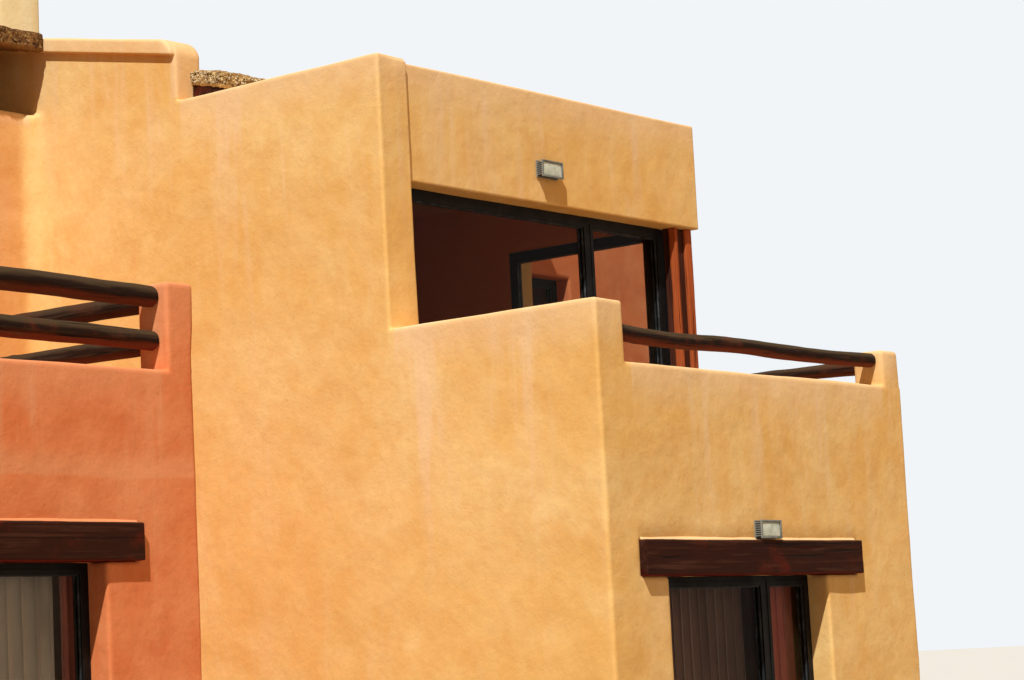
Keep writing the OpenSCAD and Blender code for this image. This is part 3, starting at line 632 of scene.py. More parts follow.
def adobe(name, marks, field, tops, material, replaced, wobble=0.010, inner=None, rough=0.0, lift=None):
    """A plastered mass from its distance field, a little wavy by hand; rough adds small lumps, and
    lift says how far the grid's rows are raised to follow a slope."""
    axes = [lines(*m) for m in marks]
    bent = field if lift is None else lambda p: field((p[0], p[1], p[2] + lift(p[1], p[2])))
    verts, quads = surface_net(axes, bent)
    if lift is not None:
        verts[:, 2] += lift(verts[:, 1], verts[:, 2])
    for _ in range(3):
        verts = verts - gradient(verts, field) * field(verts.T)[:, None]
    at_ground = verts[:, 2] < 0.03
    offset = wave(verts, 0.9, 3.1) * wobble + wave(verts, 2.7, 9.7) * wobble * 0.45
    if rough:
        offset = offset + wave(verts, 11, 5.3) * rough + wave(verts, 27, 1.9) * rough * 0.6
    verts = verts + gradient(verts, field) * offset[:, None]
    if axes[2][0] < 0:
        verts[at_ground, 2] = 0.0
    piece = mesh_piece(name, verts, quads, material, replaced)
    keep_values(piece, "drop", drop_below(*verts.T, tops, lift is not None))
    keep_values(piece, "inner", inner(*verts.T) if inner else np.zeros(len(verts)))


def sloped(level, y_level, y):
    """The height at y of a slope that passes through level at y_level."""
    return level + (y - y_level) * SLOPE


def coping_top(y):
    return sloped(GABLE_TOP, GABLE_Y, y)


def gable(p, x0, x1, lip0, lip1):
    """A raised gable wall with its band; lips are how far the band stands out."""
    rise = p[2] - coping_top(p[1])

    def profile(run):
        arc = np.hypot(GABLE_R - run, rise + GABLE_R) - GABLE_R
        return np.where((run < GABLE_R) & (rise > -GABLE_R), arc, np.maximum(-run, rise))

    def width(a, b):
        return np.abs(p[0] - (a + b) / 2) - (b - a) / 2

    wall = smooth_max(profile(p[1] - GABLE_Y), width(x0, x1), ARRIS)
    wall = np.maximum(wall, GABLE_FOOT - p[2])
    band = smooth_max(profile(p[1] - GABLE_Y - 0.012), width(x0 - lip0, x1 + lip1), ARRIS)
    band = smooth_max(band, -(rise + COPING_H), 0.012)
    return np.maximum(np.minimum(wall, band), p[1] - HOUSE_D)


SIDE_PANE = [pane for pane in REAR_PANES if pane[1][0] > HOUSE_W and pane[1][1] < BACK[0][1]][0]
GROUND_HOLES = (((GROUND_FRAME[0][0], -0.5, -1.0), (GROUND_FRAME[1][0], 1.0, GROUND_FRAME[1][2] + 0.001)),
                ((LINTEL[0][0], -0.5, LINTEL[0][2]), LINTEL[1]))
REAR_HOLE = ((RED_DOOR[0][0], 5.0, 3.25), (RED_DOOR[1][0], 8.0, 5.40))
OCHRE_BLOCKS = (
    ((0, 0, DEEP), (WALL_T, HOUSE_D, LEFT_PARAPET_TOP), ARRIS),
    ((0, TERRACE_D, DEEP), (WALL_T, HOUSE_D, ROOF_EDGE), ARRIS),
    ((0.2, TERRACE_D - 0.012, DEEP), (WALL_T, TERRACE_D + 0.6, ROOF_EDGE - 0.03), ARRIS / 2),
    ((RIGHT_IN, 0, DEEP), (HOUSE_W, HOUSE_D, PARAPET_TOP), ARRIS),
    ((RIGHT_IN, SIDE_LIGHT_Y, DEEP), (HOUSE_W, HOUSE_D, ROOF_EDGE), ARRIS),
    ((RIGHT_IN, FASCIA_BACK, FASCIA_Z), (HOUSE_W, HOUSE_D, ROOF_EDGE), ARRIS),
    ((PIER[0][0], 0, PIER_FOOT), (HOUSE_W, FRONT_T, PIER_TOP + 0.01), 0.05))


def ochre_field(p):
    front = block(p, (0, 0, DEEP), (HOUSE_W, FRONT_T, PARAPET_TOP), ARRIS)
    corner_y = BLOCK[0][1]
    rear = block(p, (BLOCK[0][0], corner_y + FILLET, DEEP), (0.1, BLOCK[1][1], BLOCK_TOP), ARRIS)
    thin = GABLE_IN * np.clip((GABLE_IN_END - p[1]) / 0.3, 0, 1)
    corner = np.maximum.reduce([
        -p[0] - FILLET, p[0] - 0.02, corner_y - p[1], p[1] - corner_y - FILLET - 0.02,
        p[2] - BLOCK_TOP + 0.02, FILLET - np.sqrt((p[0] + FILLET) ** 2 + (p[1] - corner_y) ** 2)])
    return np.minimum.reduce([block(p, *form) for form in OCHRE_BLOCKS] + [
        cut(front, p, GROUND_HOLES, 0.035), cut(rear, p, [REAR_HOLE], 0.035), corner,
        gable(p, 0, WALL_T - thin, LIP, INNER_LIP), gable(p, RIGHT_IN + thin, HOUSE_W, INNER_LIP, LIP)])


def ochre_walls():
    xs = (-6.98, HOUSE_W + 0.10,
          [-6.9, (RED_DOOR[0][0], 0.05, 2), (RED_DOOR[1][0], 0.05, 2), (-0.19, 0.04, 2), (-0.09, 0.04, 2),
           (-LIP, 0.015, 2), (0.0, 0.015, 4), WALL_T - GABLE_IN, WALL_T, (LINTEL[0][0], 0.03, 2),
           GROUND_FRAME[0][0], GROUND_FRAME[1][0], (LINTEL[1][0], 0.03, 2), 4.6, PIER[0][0], HOUSE_W,
           (HOUSE_W + LIP, 0.015, 2)])
    ys = (-0.10, HOUSE_D + 0.09,
          [0.0, (0.2, 0.04, 1), FRONT_T, (TERRACE_D, 0.015, 4), (FASCIA_BACK, 0.03, 2),
           (SIDE_LIGHT_Y, 0.04, 2), (GABLE_Y, 0.015, 4), (4.98, 0.03, 2), (5.15, 0.05, 3), (6.86, 0.05, 2),
           (7.05, 0.05, 2), (7.25, 0.05, 2), HOUSE_D])
    zs = (FOOT, GABLE_TOP + 0.12,
          [0.0, GROUND_FRAME[1][2], (LINTEL[1][2], 0.03, 2), (3.25, 0.05, 1), PARAPET_TOP, PIER_TOP,
           LEFT_PARAPET_TOP, (5.40, 0.05, 1), (FASCIA_Z, 0.03, 2), ROOF_EDGE, BLOCK_TOP, (7.18, 0.06, 3),
           (GABLE_TOP - COPING_H, 0.013, 4), (GABLE_TOP, 0.02, 3)])

    def inner(x, y, z):
        upper = (y > 2.55) & (y < HOUSE_D) & (z < 6.6)
        lower = (y > 0.30) & (z < 3.1)
        rear = np.clip((-0.15 - x) / 0.1, 0, 1) * (z < BLOCK_TOP - 0.04)
        return np.maximum((x > WALL_T - 0.02) & (x < RIGHT_IN + 0.02) & (upper | lower), 0.35 * rear)

    def roof(step_y, low):
        """The top of a side wall, which is low in front of step_y."""
        return lambda y: np.where(y < step_y, low, np.where(y < GABLE_Y - 0.03, ROOF_EDGE, coping_top(y)))

    def lift(y, z):
        return np.maximum(0, y - GABLE_Y) * SLOPE * np.clip((z - LIFT_Z) / 0.30, 0, 1)

    tops = [(-0.03, 0, WALL_T, HOUSE_D, roof(TERRACE_D - 0.03, LEFT_PARAPET_TOP)),
            (RIGHT_IN, 0, HOUSE_W, HOUSE_D, roof(2.45, PARAPET_TOP)),
            (WALL_T, 0, PIER[0][0], FRONT_T, PARAPET_TOP), (PIER[0][0], 0, HOUSE_W, FRONT_T, PIER_TOP),
            (-6.9, 6.6, -0.06, 7.3, BLOCK_TOP)]
    adobe("ochre_adobe_walls", (xs, ys, zs), ochre_field, tops, OCHRE,
          ("left_wall", "right_wall", "gable_copings", "front_wall_left", "front_wall_right",
           "front_wall_over", "terrace_pier", "rear_front_wall"), inner=inner, lift=lift)


def fascia_wall():
    """The fascia over the glazing, and its return along the right wall."""
    lo = (FASCIA[0][0] - 0.02, FASCIA[0][1], FASCIA_Z)
    hi = (FASCIA[1][0], FASCIA[1][1], FASCIA[1][2] + FASCIA_RISE)
    back = near("wall_lamps")[1][1] + 0.31

    def field(p):
        front = block(p, lo, (hi[0], back, hi[2]), FASCIA_ARRIS)
        return np.minimum(front, block(p, (HOUSE_W, lo[1] + 0.1, lo[2]), hi, FASCIA_ARRIS))

    marks = [(lo[0] - 0.06, hi[0] + 0.08, [lo[0], HOUSE_W, hi[0]]),
             (lo[1] - 0.08, hi[1] + 0.06, [(lo[1], 0.012, 4), back, hi[1]]),
             (lo[2] - 0.08, hi[2] + 0.08, [(lo[2], 0.012, 4), hi[2]])]
    adobe("upper_fascia_adobe", marks, field, [(0, 0, 9, 9, hi[2])], OCHRE, ("upper_fascia",), wobble=0.007)


def red_walls():
    """The terracotta wing: three walls round its terrace and the piers at its front corners."""
    left, front, right, back = RED_OVER[0][0], RED_OVER[0][1], RED_OVER[1][0], RED_OVER[1][1]
    end, inner_left, inner_right = RED_LEFT[1][1], RED_LEFT[1][0], RED_RIGHT[0][0]
    holes = (((RED_DOOR[0][0], front - 1, -1.0), (RED_DOOR[1][0], back + 1, RED_DOOR[1][2])),
             ((RED_LINTEL[0][0], RED_LINTEL[0][1] - 1, RED_LINTEL[0][2]), RED_LINTEL[1]))
    sides = ((left, inner_left), (inner_right, right))

    def field(p):
        masses = [cut(block(p, (left, front, DEEP), (right, back, RED_BRIM), RED_ARRIS), p, holes)]
        masses += [block(p, (x0, front, DEEP), (x1, end + 0.2, RED_BRIM), RED_ARRIS) for x0, x1 in sides]
        masses += [block(p, (x0, front, PIER_FOOT), (x1, back, RED_PIER_TOP), ARRIS) for x0, x1 in sides]
        flare = PIER_FLARE * np.clip((p[2] - PARAPET_TOP) / 0.7, 0, 1)
        wide = block(p, (inner_right, front, PIER_FOOT), (right + PIER_FLARE, back, RED_PIER_TOP), ARRIS)
        masses.append(np.maximum(wide, p[0] - right - flare))
        return np.maximum(np.minimum.reduce(masses), p[1] - end)

    xs = (left - 0.08, right + 0.08,
          [left, inner_left, (RED_LINTEL[0][0], 0.03, 2), RED_DOOR[0][0], RED_DOOR[1][0],
           RED_LINTEL[1][0], inner_right, (right + 0.02, 0.02, 4)])
    ys = (front - 0.08, end + 0.05, [front, (RED_LINTEL[1][1], 0.05, 2), back, end])
    zs = (FOOT, RED_PIER[1][2] + 0.12, [0.0, RED_DOOR[1][2], RED_LINTEL[1][2], RED_BRIM, RED_PIER_TOP])

    def inner(x, y, z):
        room = (x > inner_left - 0.02) & (x < inner_right + 0.02) & (y > back - 0.03) & (z < STOREY - 0.1)
        return room * 0.6

    tops = [(left, front, right, end, RED_BRIM)]
    tops += [(x0, front, x1, back, RED_PIER[1][2]) for x0, x1 in sides]
    adobe("red_adobe_walls", (xs, ys, zs), field, tops, RED,
          ("red_front_wall_left", "red_front_wall_right", "red_front_wall_over", "red_left_wall",
           "red_right_wall", "red_piers"), inner=inner)


def rear_windows(x):
    """The two openings of the plain rear windows about x, from the panes of their frames."""
    panes = [(lo, hi) for lo, hi in REAR_PANES if lo[1] > BACK[0][1] and abs((lo[0] + hi[0]) / 2 - x) < 0.6]
    rows = sorted({round(lo[2], 3) for lo, hi in panes})
    height = panes[0][1][2] - panes[0][0][2]
    x0 = min(lo[0] for lo, hi in panes) - FRAME_W
    x1 = max(hi[0] for lo, hi in panes) + FRAME_W
    return [((x0, BACK[0][1] - 1, z - FRAME_W), (x1, BACK[1][1] + 1, z + height + FRAME_W)) for z in rows]


def edges(holes, axis):
    """Where openings start and end along an axis."""
    return sorted({corner[axis] for hole in holes for corner in hole})


def rear_walls():
    """The back wall with its two rows of windows, and the left end of the rear block."""
    left, y0, y1 = BACK[0][0], BACK[0][1], BACK[1][1]
    inner_left, end_y, end_top = REAR_LEFT[1][0], REAR_LEFT[0][1], REAR_LEFT[1][2]
    over_all = 9.5
    holes = rear_windows(HOUSE_W / 2) + rear_windows(left / 2)

    def field(p):
        wide = block(p, (left, y0, DEEP), (0, y1, over_all), 0.02)
        wide = np.maximum(wide, p[2] - sloped(CANOPY[0][2], CANOPY[0][1], p[1]))
        house = block(p, (WALL_T, y0, DEEP), (RIGHT_IN, y1, over_all), 0.005)
        house = np.maximum(house, p[2] - sloped(MUD_SLAB[0][2], MUD_SLAB[0][1], p[1]))
        end = block(p, (left, end_y - 0.1, DEEP), (inner_left, y1, end_top), REAR_ARRIS)
        return cut(np.minimum.reduce([wide, house, np.maximum(end, end_y - p[1])]), p, holes)

    xs = (left - 0.06, RIGHT_IN + 0.06, [left, inner_left, 0.0, WALL_T, RIGHT_IN] + edges(holes, 0))
    ys = (end_y - 0.06, y1 + 0.06, [end_y, y0, y1])
    zs = (FOOT, BACK[1][2] + 0.2,
          [0.0, end_top] + edges(holes, 2) + [(z, 0.05, 2) for z in np.arange(7.75, 8.3, 0.1)])
    tops = [(left, 6, inner_left, y1, end_top),
            (left, y0, HOUSE_W, y1, lambda y: sloped(MUD_SLAB[0][2], MUD_SLAB[0][1], y))]
    adobe("rear_adobe_walls", (xs, ys, zs), field, tops, OCHRE, ("back_wall", "rear_left_wall"),
          inner=lambda x, y, z: (x > WALL_T) & (x < RIGHT_IN) & (y < y0 + 0.1))


def side_wing():
    """The terracotta wing behind the right side."""
    (x0, y0, _), (x1, y1, top) = SIDE
    inner_y = y0 + FRONT_T
    (pane_x0, _, pane_z0), (pane_x1, _, pane_z1) = SIDE_PANE
    front_hole = ((pane_x0 - FRAME_W, y0 - 1, pane_z0 - FRAME_W),
                  (pane_x1 + FRAME_W, inner_y + 1, pane_z1 + FRAME_W))
    holes = rear_windows((x0 + x1) / 2)

    def field(p):
        front = cut(block(p, (x0 - 0.2, y0, DEEP), (x1, inner_y, top), REAR_ARRIS), p, [front_hole])
        back = cut(block(p, (x0 - 0.2, BACK[0][1], DEEP), (x1, y1, top), REAR_ARRIS), p, holes)
        side = block(p, (x1 - WALL_T, y0, DEEP), (x1, y1, top), REAR_ARRIS)
        return np.maximum(np.minimum.reduce([front, back, side]), x0 - p[0])

    xs = (x0 - 0.05, x1 + 0.07, [x0, x1 - WALL_T, x1] + edges(holes + [front_hole], 0))
    ys = (y0 - 0.07, y1 + 0.07, [y0, inner_y, BACK[0][1], y1])
    zs = (FOOT, top + 0.07, [0.0, top] + edges(holes + [front_hole], 2))
    adobe("side_wing_adobe", (xs, ys, zs), field, [(x0, y0, x1, y1, top)], RED, ("side_wing_walls",))


def chimney():
    """The cream stack, which rises from the earth roof."""
    lo, hi = CHIMNEY

    def field(p):
        stack = block(p, (lo[0], lo[1], lo[2] - 0.5), hi, 0.06)
        return np.maximum(stack, sloped(MUD_SLAB[1][2], MUD_SLAB[1][1], p[1]) - p[2])

    marks = [(lo[0] - 0.06, hi[0] + 0.06, [lo[0], hi[0]]), (lo[1] - 0.06, hi[1] + 0.06, [lo[1], hi[1]]),
             (lo[2] - 0.06, hi[2] + 0.06, [(lo[2] + 0.07, 0.04, 2), hi[2]])]
    adobe("chimney_stack", marks, field, [(0, 0, 9, 9, hi[2])], CREAM, ("chimney",), wobble=0.009)


def clerestory():
    """The wall over the flat roof, under the mud roof, with its rafters let in."""
    lo, hi = CLERESTORY
    ends = solids("roof_rafters")

    def field(p):
        under = sloped(MUD_SLAB[0][2], MUD_SLAB[0][1], p[1])
        wall = np.maximum(block(p, lo, (hi[0], hi[1], hi[2] + 0.5), 0.01), p[2] - under)
        for a, b in ends:
            hole = np.maximum(np.abs(p[0] - (a[0] + b[0]) / 2) - (b[0] - a[0]) / 2, (under - RAFTER_H) - p[2])
            wall = np.maximum(wall, -hole)
        return wall

    marks = [(lo[0] - 0.03, hi[0] + 0.03, [lo[0], hi[0]] + [x for a, b in ends for x in (a[0], b[0])]),
             (lo[1] - 0.05, hi[1] + 0.05, [lo[1], hi[1]]),
             (lo[2] - 0.05, hi[2] + 0.07, [lo[2], (hi[2] - 0.12, 0.03, 2), hi[2]])]
    adobe("clerestory_adobe", marks, field, [(0, 0, 9, 9, hi[2])], OCHRE, ("clerestory_wall",), wobble=0.004)


# joined meshes

class Heap:
    """Meshes that are gathered into one piece."""

    def __init__(self, *meshes):
        self.verts = []
        self.faces = []
        for verts, faces in meshes:
            self.add(verts, faces)

    def add(self, verts, faces):
        base = len(self.verts)
        self.verts += [tuple(v) for v in verts]
        self.faces += [[i + base for i in f] for f in faces]

    def piece(self, name, material, replaced=(), smooth=True):
        return mesh_piece(name, self.verts, self.faces, material, replaced, smooth)


def taken(form):
    """Vertices and faces of a bmesh, which is then freed."""
    form.verts.index_update()
    verts = [tuple(v.co) for v in form.verts]
    faces = [[v.index for v in f.verts] for f in form.faces]
    form.free()
    return verts, faces


def bevelled(boxes, bevel):
    """Vertices and faces of boxes with soft edges."""
    form = bmesh.new()
    for lo, hi in boxes:
        lo, hi = Vector(lo), Vector(hi)
        place = Matrix.Translation((lo + hi) / 2) @ Matrix.Diagonal(hi - lo).to_4x4()
        bmesh.ops.create_cube(form, size=1, matrix=place)
    bmesh.ops.bevel(form, geom=form.edges[:], offset=bevel, offset_type="OFFSET", segments=2, profile=0.6,
                    affect="EDGES", clamp_overlap=True)
    return taken(form)


def grid_faces(columns, rows):
    """Quads of a grid of points that are stored row by row."""
    n = columns + 1
    return [(a, a + 1, a + n + 1, a + n) for j in range(rows) for a in range(j * n, j * n + columns)]


def circle(n):
    """The cosine and sine of n even steps round a circle."""
    return [(math.cos(2 * math.pi * k / n), math.sin(2 * math.pi * k / n)) for k in range(n)]


def band_faces(rings, m, closed=False):
    """Quads between rings of m points each; closed joins the last ring to the first."""
    faces = []
    for i in range(rings if closed else rings - 1):
        this, beyond = i * m, (i + 1) % rings * m
        for k in range(m):
            j = (k + 1) % m
            faces.append((this + k, this + j, beyond + j, beyond + k))
    return faces


def skin(rings):
    """Vertices and outward faces of a closed skin over rings of points."""
    rings = np.array(rings)
    n, m = rings.shape[:2]
    verts = np.concatenate([rings.reshape(-1, 3), [rings[0].mean(0), rings[-1].mean(0)]])
    faces = band_faces(n, m)
    for k in range(m):
        j = (k + 1) % m
        faces.append((n * m, j, k))
        faces.append((n * m + 1, (n - 1) * m + k, (n - 1) * m + j))
    middle = verts.mean(0)
    volume = 0.0
    for f in faces:
        a, b, c = (verts[i] - middle for i in f[:3])
        volume += np.dot(a, np.cross(b, c))
        if len(f) == 4:
            volume += np.dot(a, np.cross(c, verts[f[3]] - middle))
    if volume < 0:
        faces = [f[::-1] for f in faces]
    return verts, faces


# roof slabs of earth, ragged at their edges

def mud_slab(name, node, thick, material, corner=None):
    """An earth roof; corner is where its ragged front left corner reaches, past the node's own edge."""
    lo, hi = near(node)
    left = lo[0] if corner is None else corner
    edge = 0.09
    step = 0.035

    def field(p):
        q = (p[0], p[1], p[2] - (p[1] - hi[1]) * SLOPE)
        slab = block(q, (lo[0] - (0 if corner is None else edge), lo[1], hi[2] - thick), hi, ARRIS)
        if corner is None:
            return slab
        more = block(q, (left, lo[1], hi[2] - thick), (lo[0] + 0.2, GABLE_Y + 0.01, hi[2]), ARRIS)
        return np.minimum(slab, more)

    marks = [(left - edge, hi[0] + edge, [left, lo[0], hi[0]], step, 2, 0.06),
             (lo[1] - edge, hi[1] + edge, [(lo[1], 0.022, 4), hi[1]], step, 4, 0.16),
             (lo[2] - edge, hi[2] + edge, [], step, 2, 0.034)]
    adobe(name, marks, field, [(-9, 0, 9, 9, lambda y: sloped(hi[2], hi[1], y))], material, (node,),
          wobble=0.012, rough=0.014)


def edge_spots(node, thick, count, rng, corner=None):
    """Places on the broken edge of an earth roof, with the way out: its front, and its left corner's side."""
    lo, hi = near(node)
    under = hi[2] - thick - (hi[1] - lo[1]) * SLOPE
    left = lo[0] if corner is None else corner
    for k in range(count):
        rise = rng.uniform(0.035, thick - 0.02)
        if corner is not None and k % 6 == 0:
            run = rng.uniform(0.01, GABLE_Y - lo[1])
            x = left + rng.uniform(-0.004, 0.006)
            yield Vector((x, lo[1] + run, under + run * SLOPE + rise)), Vector((-1, 0, 0))
        else:
            x = rng.uniform(left + 0.02, hi[0] - 0.03)
            yield Vector((x, lo[1] + rng.uniform(-0.004, 0.006), under + rise)), Vector((0, -1, 0))


def strewn(name, make, node, thick, count, seed, material, corner=None):
    """Pebbles or straws that show in the broken edge of an earth roof."""
    rng = random.Random(seed)
    meshes = [make(place, out, rng) for place, out in edge_spots(node, thick, count, rng, corner)]
    Heap(*meshes).piece(name, material, smooth=make is pebble_mesh)


def pebble_mesh(place, _, rng):
    """A small stone: a rounded twelve sided form, squashed and turned at random."""
    form = bmesh.new()
    bmesh.ops.create_icosphere(form, subdivisions=1, radius=rng.uniform(0.007, 0.019))
    verts, faces = taken(form)
    shape = [rng.uniform(0.7, 1.2) for _ in range(3)]
    turn = Matrix.Rotation(rng.uniform(0, 6.3), 3, Vector((rng.random(), rng.random(), rng.random() + 0.1)))
    return [turn @ (Vector([c * k for c, k in zip(v, shape)]) * rng.uniform(0.88, 1.1)) + place
            for v in verts], faces


def straw_mesh(place, out, rng):
    """A bent straw that sticks out."""
    start = place - out * 0.006
    way = out * rng.uniform(0.25, 0.9) + Vector((out.y, -out.x, 0)) * rng.uniform(-1, 1)
    way = (way + Vector((0, 0, rng.uniform(-0.7, 0.3)))).normalized()
    reach = rng.uniform(0.02, 0.05)
    bend = Vector((0, 0, -rng.uniform(0.2, 0.5))) * reach
    side = way.cross(Vector((0, 0, 1))).normalized() * 0.0014
    up = side.cross(way).normalized() * 0.0014
    rings = []
    for t in (0, 0.35, 0.7, 1.0):
        at = start + way * reach * t + bend * t * t
        rings.append([at + side, at - side * 0.5 + up, at - side * 0.5 - up])
    return skin(rings)


# timber

TURN = 2 * math.pi
LOG_WAVES = [-0.019, -0.005, -0.012, -0.003]
LOG_AXIS_Z = 4.250
LOG_GAP = 0.145
LOG_THIN = 0.14
LOG_BOW = 0.115
RAIL_D = 0.17
RAIL_BOW = 0.03
RAIL_Z = [PARAPET_TOP + 0.20 + RAIL_D / 2 + k * 0.35 for k in (0, 1)]
TAPER = 0.9
CANOPY_BEAM_H = 0.18
CANOPY_POST_D = 0.15


def ripple(*place):
    return noise.noise(Vector(place))


def stations(length, step, ends):
    """Places along a timber, close together at its ends."""
    middle = np.linspace(0.05, length - 0.05, max(2, int(length / step)))
    return np.concatenate([ends, middle, length - np.array(ends)[::-1]])


def log_mesh(a, b, d0, d1, bow, seed, girth=44, checks=6, knots=6, loose=1.0):
    """A crooked log with drying checks, knots and worn ends. bow is how far its middle moves, or a list of
    rises for one, two, three and four half waves along it; loose is the size of its small bends."""
    rng = random.Random(seed)
    a, b = np.array(a, float), np.array(b, float)
    length = np.linalg.norm(b - a)
    along = (b - a) / length
    side = np.cross((0, 0, 1), along)
    up = np.cross(along, side)
    s = stations(length, 0.035, (0.0, 0.003, 0.009, 0.018, 0.03))
    t = s / length
    from_end = np.clip(np.minimum(s, length - s) / 0.03, 0, 1)
    blunt = 0.80 + 0.20 * np.sqrt(np.clip(1 - (1 - from_end) ** 2, 0, 1))
    angle = np.linspace(0, TURN, girth, endpoint=False)
    hold = np.sin(math.pi * t) * loose
    if isinstance(bow, list):
        rise = sum(size * np.sin(math.pi * (k + 1) * t) for k, size in enumerate(bow))
        bends = np.stack([rise * 0, rise * 0, rise], 1)
    else:
        bends = np.array(bow)[None, :] * (4 * t * (1 - t))[:, None]
    radius = ((d0 + (d1 - d0) * t) / 2 * blunt)[:, None] * np.ones(girth)[None, :]

    def away(centre):
        return np.abs((angle - centre + math.pi) % TURN - math.pi)

    for i, place in enumerate(s):
        for k, turn in enumerate(angle):
            spot = Vector((math.cos(turn) * 0.7, math.sin(turn) * 0.7, place * 1.6 + seed * 7.3))
            radius[i, k] *= 1 + 0.075 * noise.noise(spot) + 0.030 * noise.noise(spot * 3.7)
    for _ in range(knots):
        s0, a0 = rng.uniform(0.3, length - 0.3), rng.uniform(0, TURN)
        size = rng.uniform(0.004, 0.010)
        radius += size * np.exp(-((s - s0) / 0.045) ** 2)[:, None] * np.exp(-(away(a0) / 0.42) ** 2)[None, :]
    for _ in range(checks):
        s0, reach = rng.uniform(0, length), rng.uniform(0.25, 0.8)
        a0, drift = rng.uniform(0, TURN), rng.uniform(-0.35, 0.35)
        depth = rng.uniform(0.005, 0.010)
        for i, place in enumerate(s):
            fade = max(0.0, 1 - ((place - s0) / reach) ** 2)
            centre = a0 + drift * (place - s0) + 0.06 * ripple(place * 6, seed, a0)
            radius[i] -= depth * fade * np.exp(-(away(centre) / 0.10) ** 2)
    rings = []
    for i, (place, share) in enumerate(zip(s, t)):
        across = ripple(place * 0.8, seed * 3.1, 0) * 0.020 + ripple(place * 2.3, seed * 1.7, 5) * 0.008
        rise = ripple(place * 0.9, 7, seed * 2.3) * 0.018 + ripple(place * 2.6, 3, seed * 1.3) * 0.007
        centre = a + (b - a) * share + bends[i] + side * (across * hold[i]) + up * (rise * hold[i])
        rings.append(centre[None, :] + radius[i][:, None] * (np.cos(angle)[:, None] * side[None, :]
                                                            + np.sin(angle)[:, None] * up[None, :]))
    return skin(rings)


def beam_mesh(lo, hi, axis, seed, soft=0.018, worn=0.005, checks=7, spacing=0.014, lift=0.0):
    """A hewn beam along one axis, with worn arrises and drying checks; lift is its rise for each metre."""
    rng = random.Random(seed)
    lo, hi = np.array(lo, float), np.array(hi, float)
    u, v = [i for i in range(3) if i != axis]
    length = hi[axis] - lo[axis]
    half = np.array([(hi[u] - lo[u]) / 2, (hi[v] - lo[v]) / 2])
    half[1] -= lift * length / 2
    middle = np.array([(lo[u] + hi[u]) / 2, lo[v] + half[1]])
    outline = []
    for corner, way in (((-1, -1), (1, 0)), ((1, -1), (0, 1)), ((1, 1), (-1, 0)), ((-1, 1), (0, -1))):
        side = 2 * half[0] if way[0] else 2 * half[1]
        parts = max(4, int(side / spacing))
        for k in range(parts):
            outline.append(np.array(corner) * half + np.array(way) * side * k / parts)
    outline = np.array(outline)
    perimeter = np.cumsum([0] + [np.linalg.norm(outline[k] - outline[k - 1]) for k in range(1, len(outline))])
    total = perimeter[-1] + spacing
    cuts = []
    for _ in range(checks):
        cuts.append((rng.uniform(0, length), rng.uniform(0.25, 0.9), rng.uniform(0, total),
                     rng.uniform(-0.02, 0.02), rng.uniform(0.004, 0.009)))
    rings = []
    for place in stations(length, 0.028, (0.0, 0.004, 0.010, 0.02)):
        wear = max(0.004, soft * (1 + 0.5 * ripple(place * 1.7, seed * 2.9, 0)))
        pull = 0.008 * (1 - min(1.0, min(place, length - place) / 0.012)) ** 2
        inner = np.clip(outline, -(half - wear), half - wear)
        out = outline - inner
        way = out / np.maximum(np.linalg.norm(out, axis=1), 1e-9)[:, None]
        depth = np.zeros(len(outline))
        for s0, reach, p0, drift, deep in cuts:
            fade = max(0.0, 1 - ((place - s0) / reach) ** 2)
            spot = p0 + drift * (place - s0) + 0.008 * ripple(place * 5, p0, seed)
            gap = np.abs((perimeter - spot + total / 2) % total - total / 2)
            depth += deep * fade * np.exp(-(gap / 0.011) ** 2)
        for k, point in enumerate(outline):
            where = Vector((point[0] * 2.4, point[1] * 2.4, place * 1.9 + seed * 3.7))
            depth[k] += worn * (0.6 + 1.1 * noise.noise(where) + 0.5 * noise.noise(where * 4.1))
        section = inner + way * wear - way * (depth + pull)[:, None]
        ring = np.zeros((len(outline), 3))
        ring[:, axis] = lo[axis] + place
        ring[:, u] = middle[0] + section[:, 0]
        ring[:, v] = middle[1] + section[:, 1] + lift * place
        rings.append(ring)
    return skin(rings)


def terrace_logs():
    (x0, y0, _), (x1, y1, _) = near("terrace_front_log")
    y = (y0 + y1) / 2
    mesh = log_mesh((x0, y, LOG_AXIS_Z - 0.006), (x1, y, LOG_AXIS_Z - 0.022), 0.146, 0.138, LOG_WAVES, 3,
                    girth=52, loose=0.4)
    Heap(mesh).piece("front_log", LOG_X, ("terrace_front_log",))
    lo, hi = near("terrace_side_log")
    x, z = (PIER[0][0] + PIER[1][0]) / 2, PARAPET_TOP + LOG_GAP + LOG_THIN / 2
    mesh = log_mesh((x, lo[1], z), (x, hi[1], z), LOG_THIN, LOG_THIN * TAPER, (0, 0, LOG_BOW / 4), 8)
    Heap(mesh).piece("side_log", LOG_Y, ("terrace_side_log",))


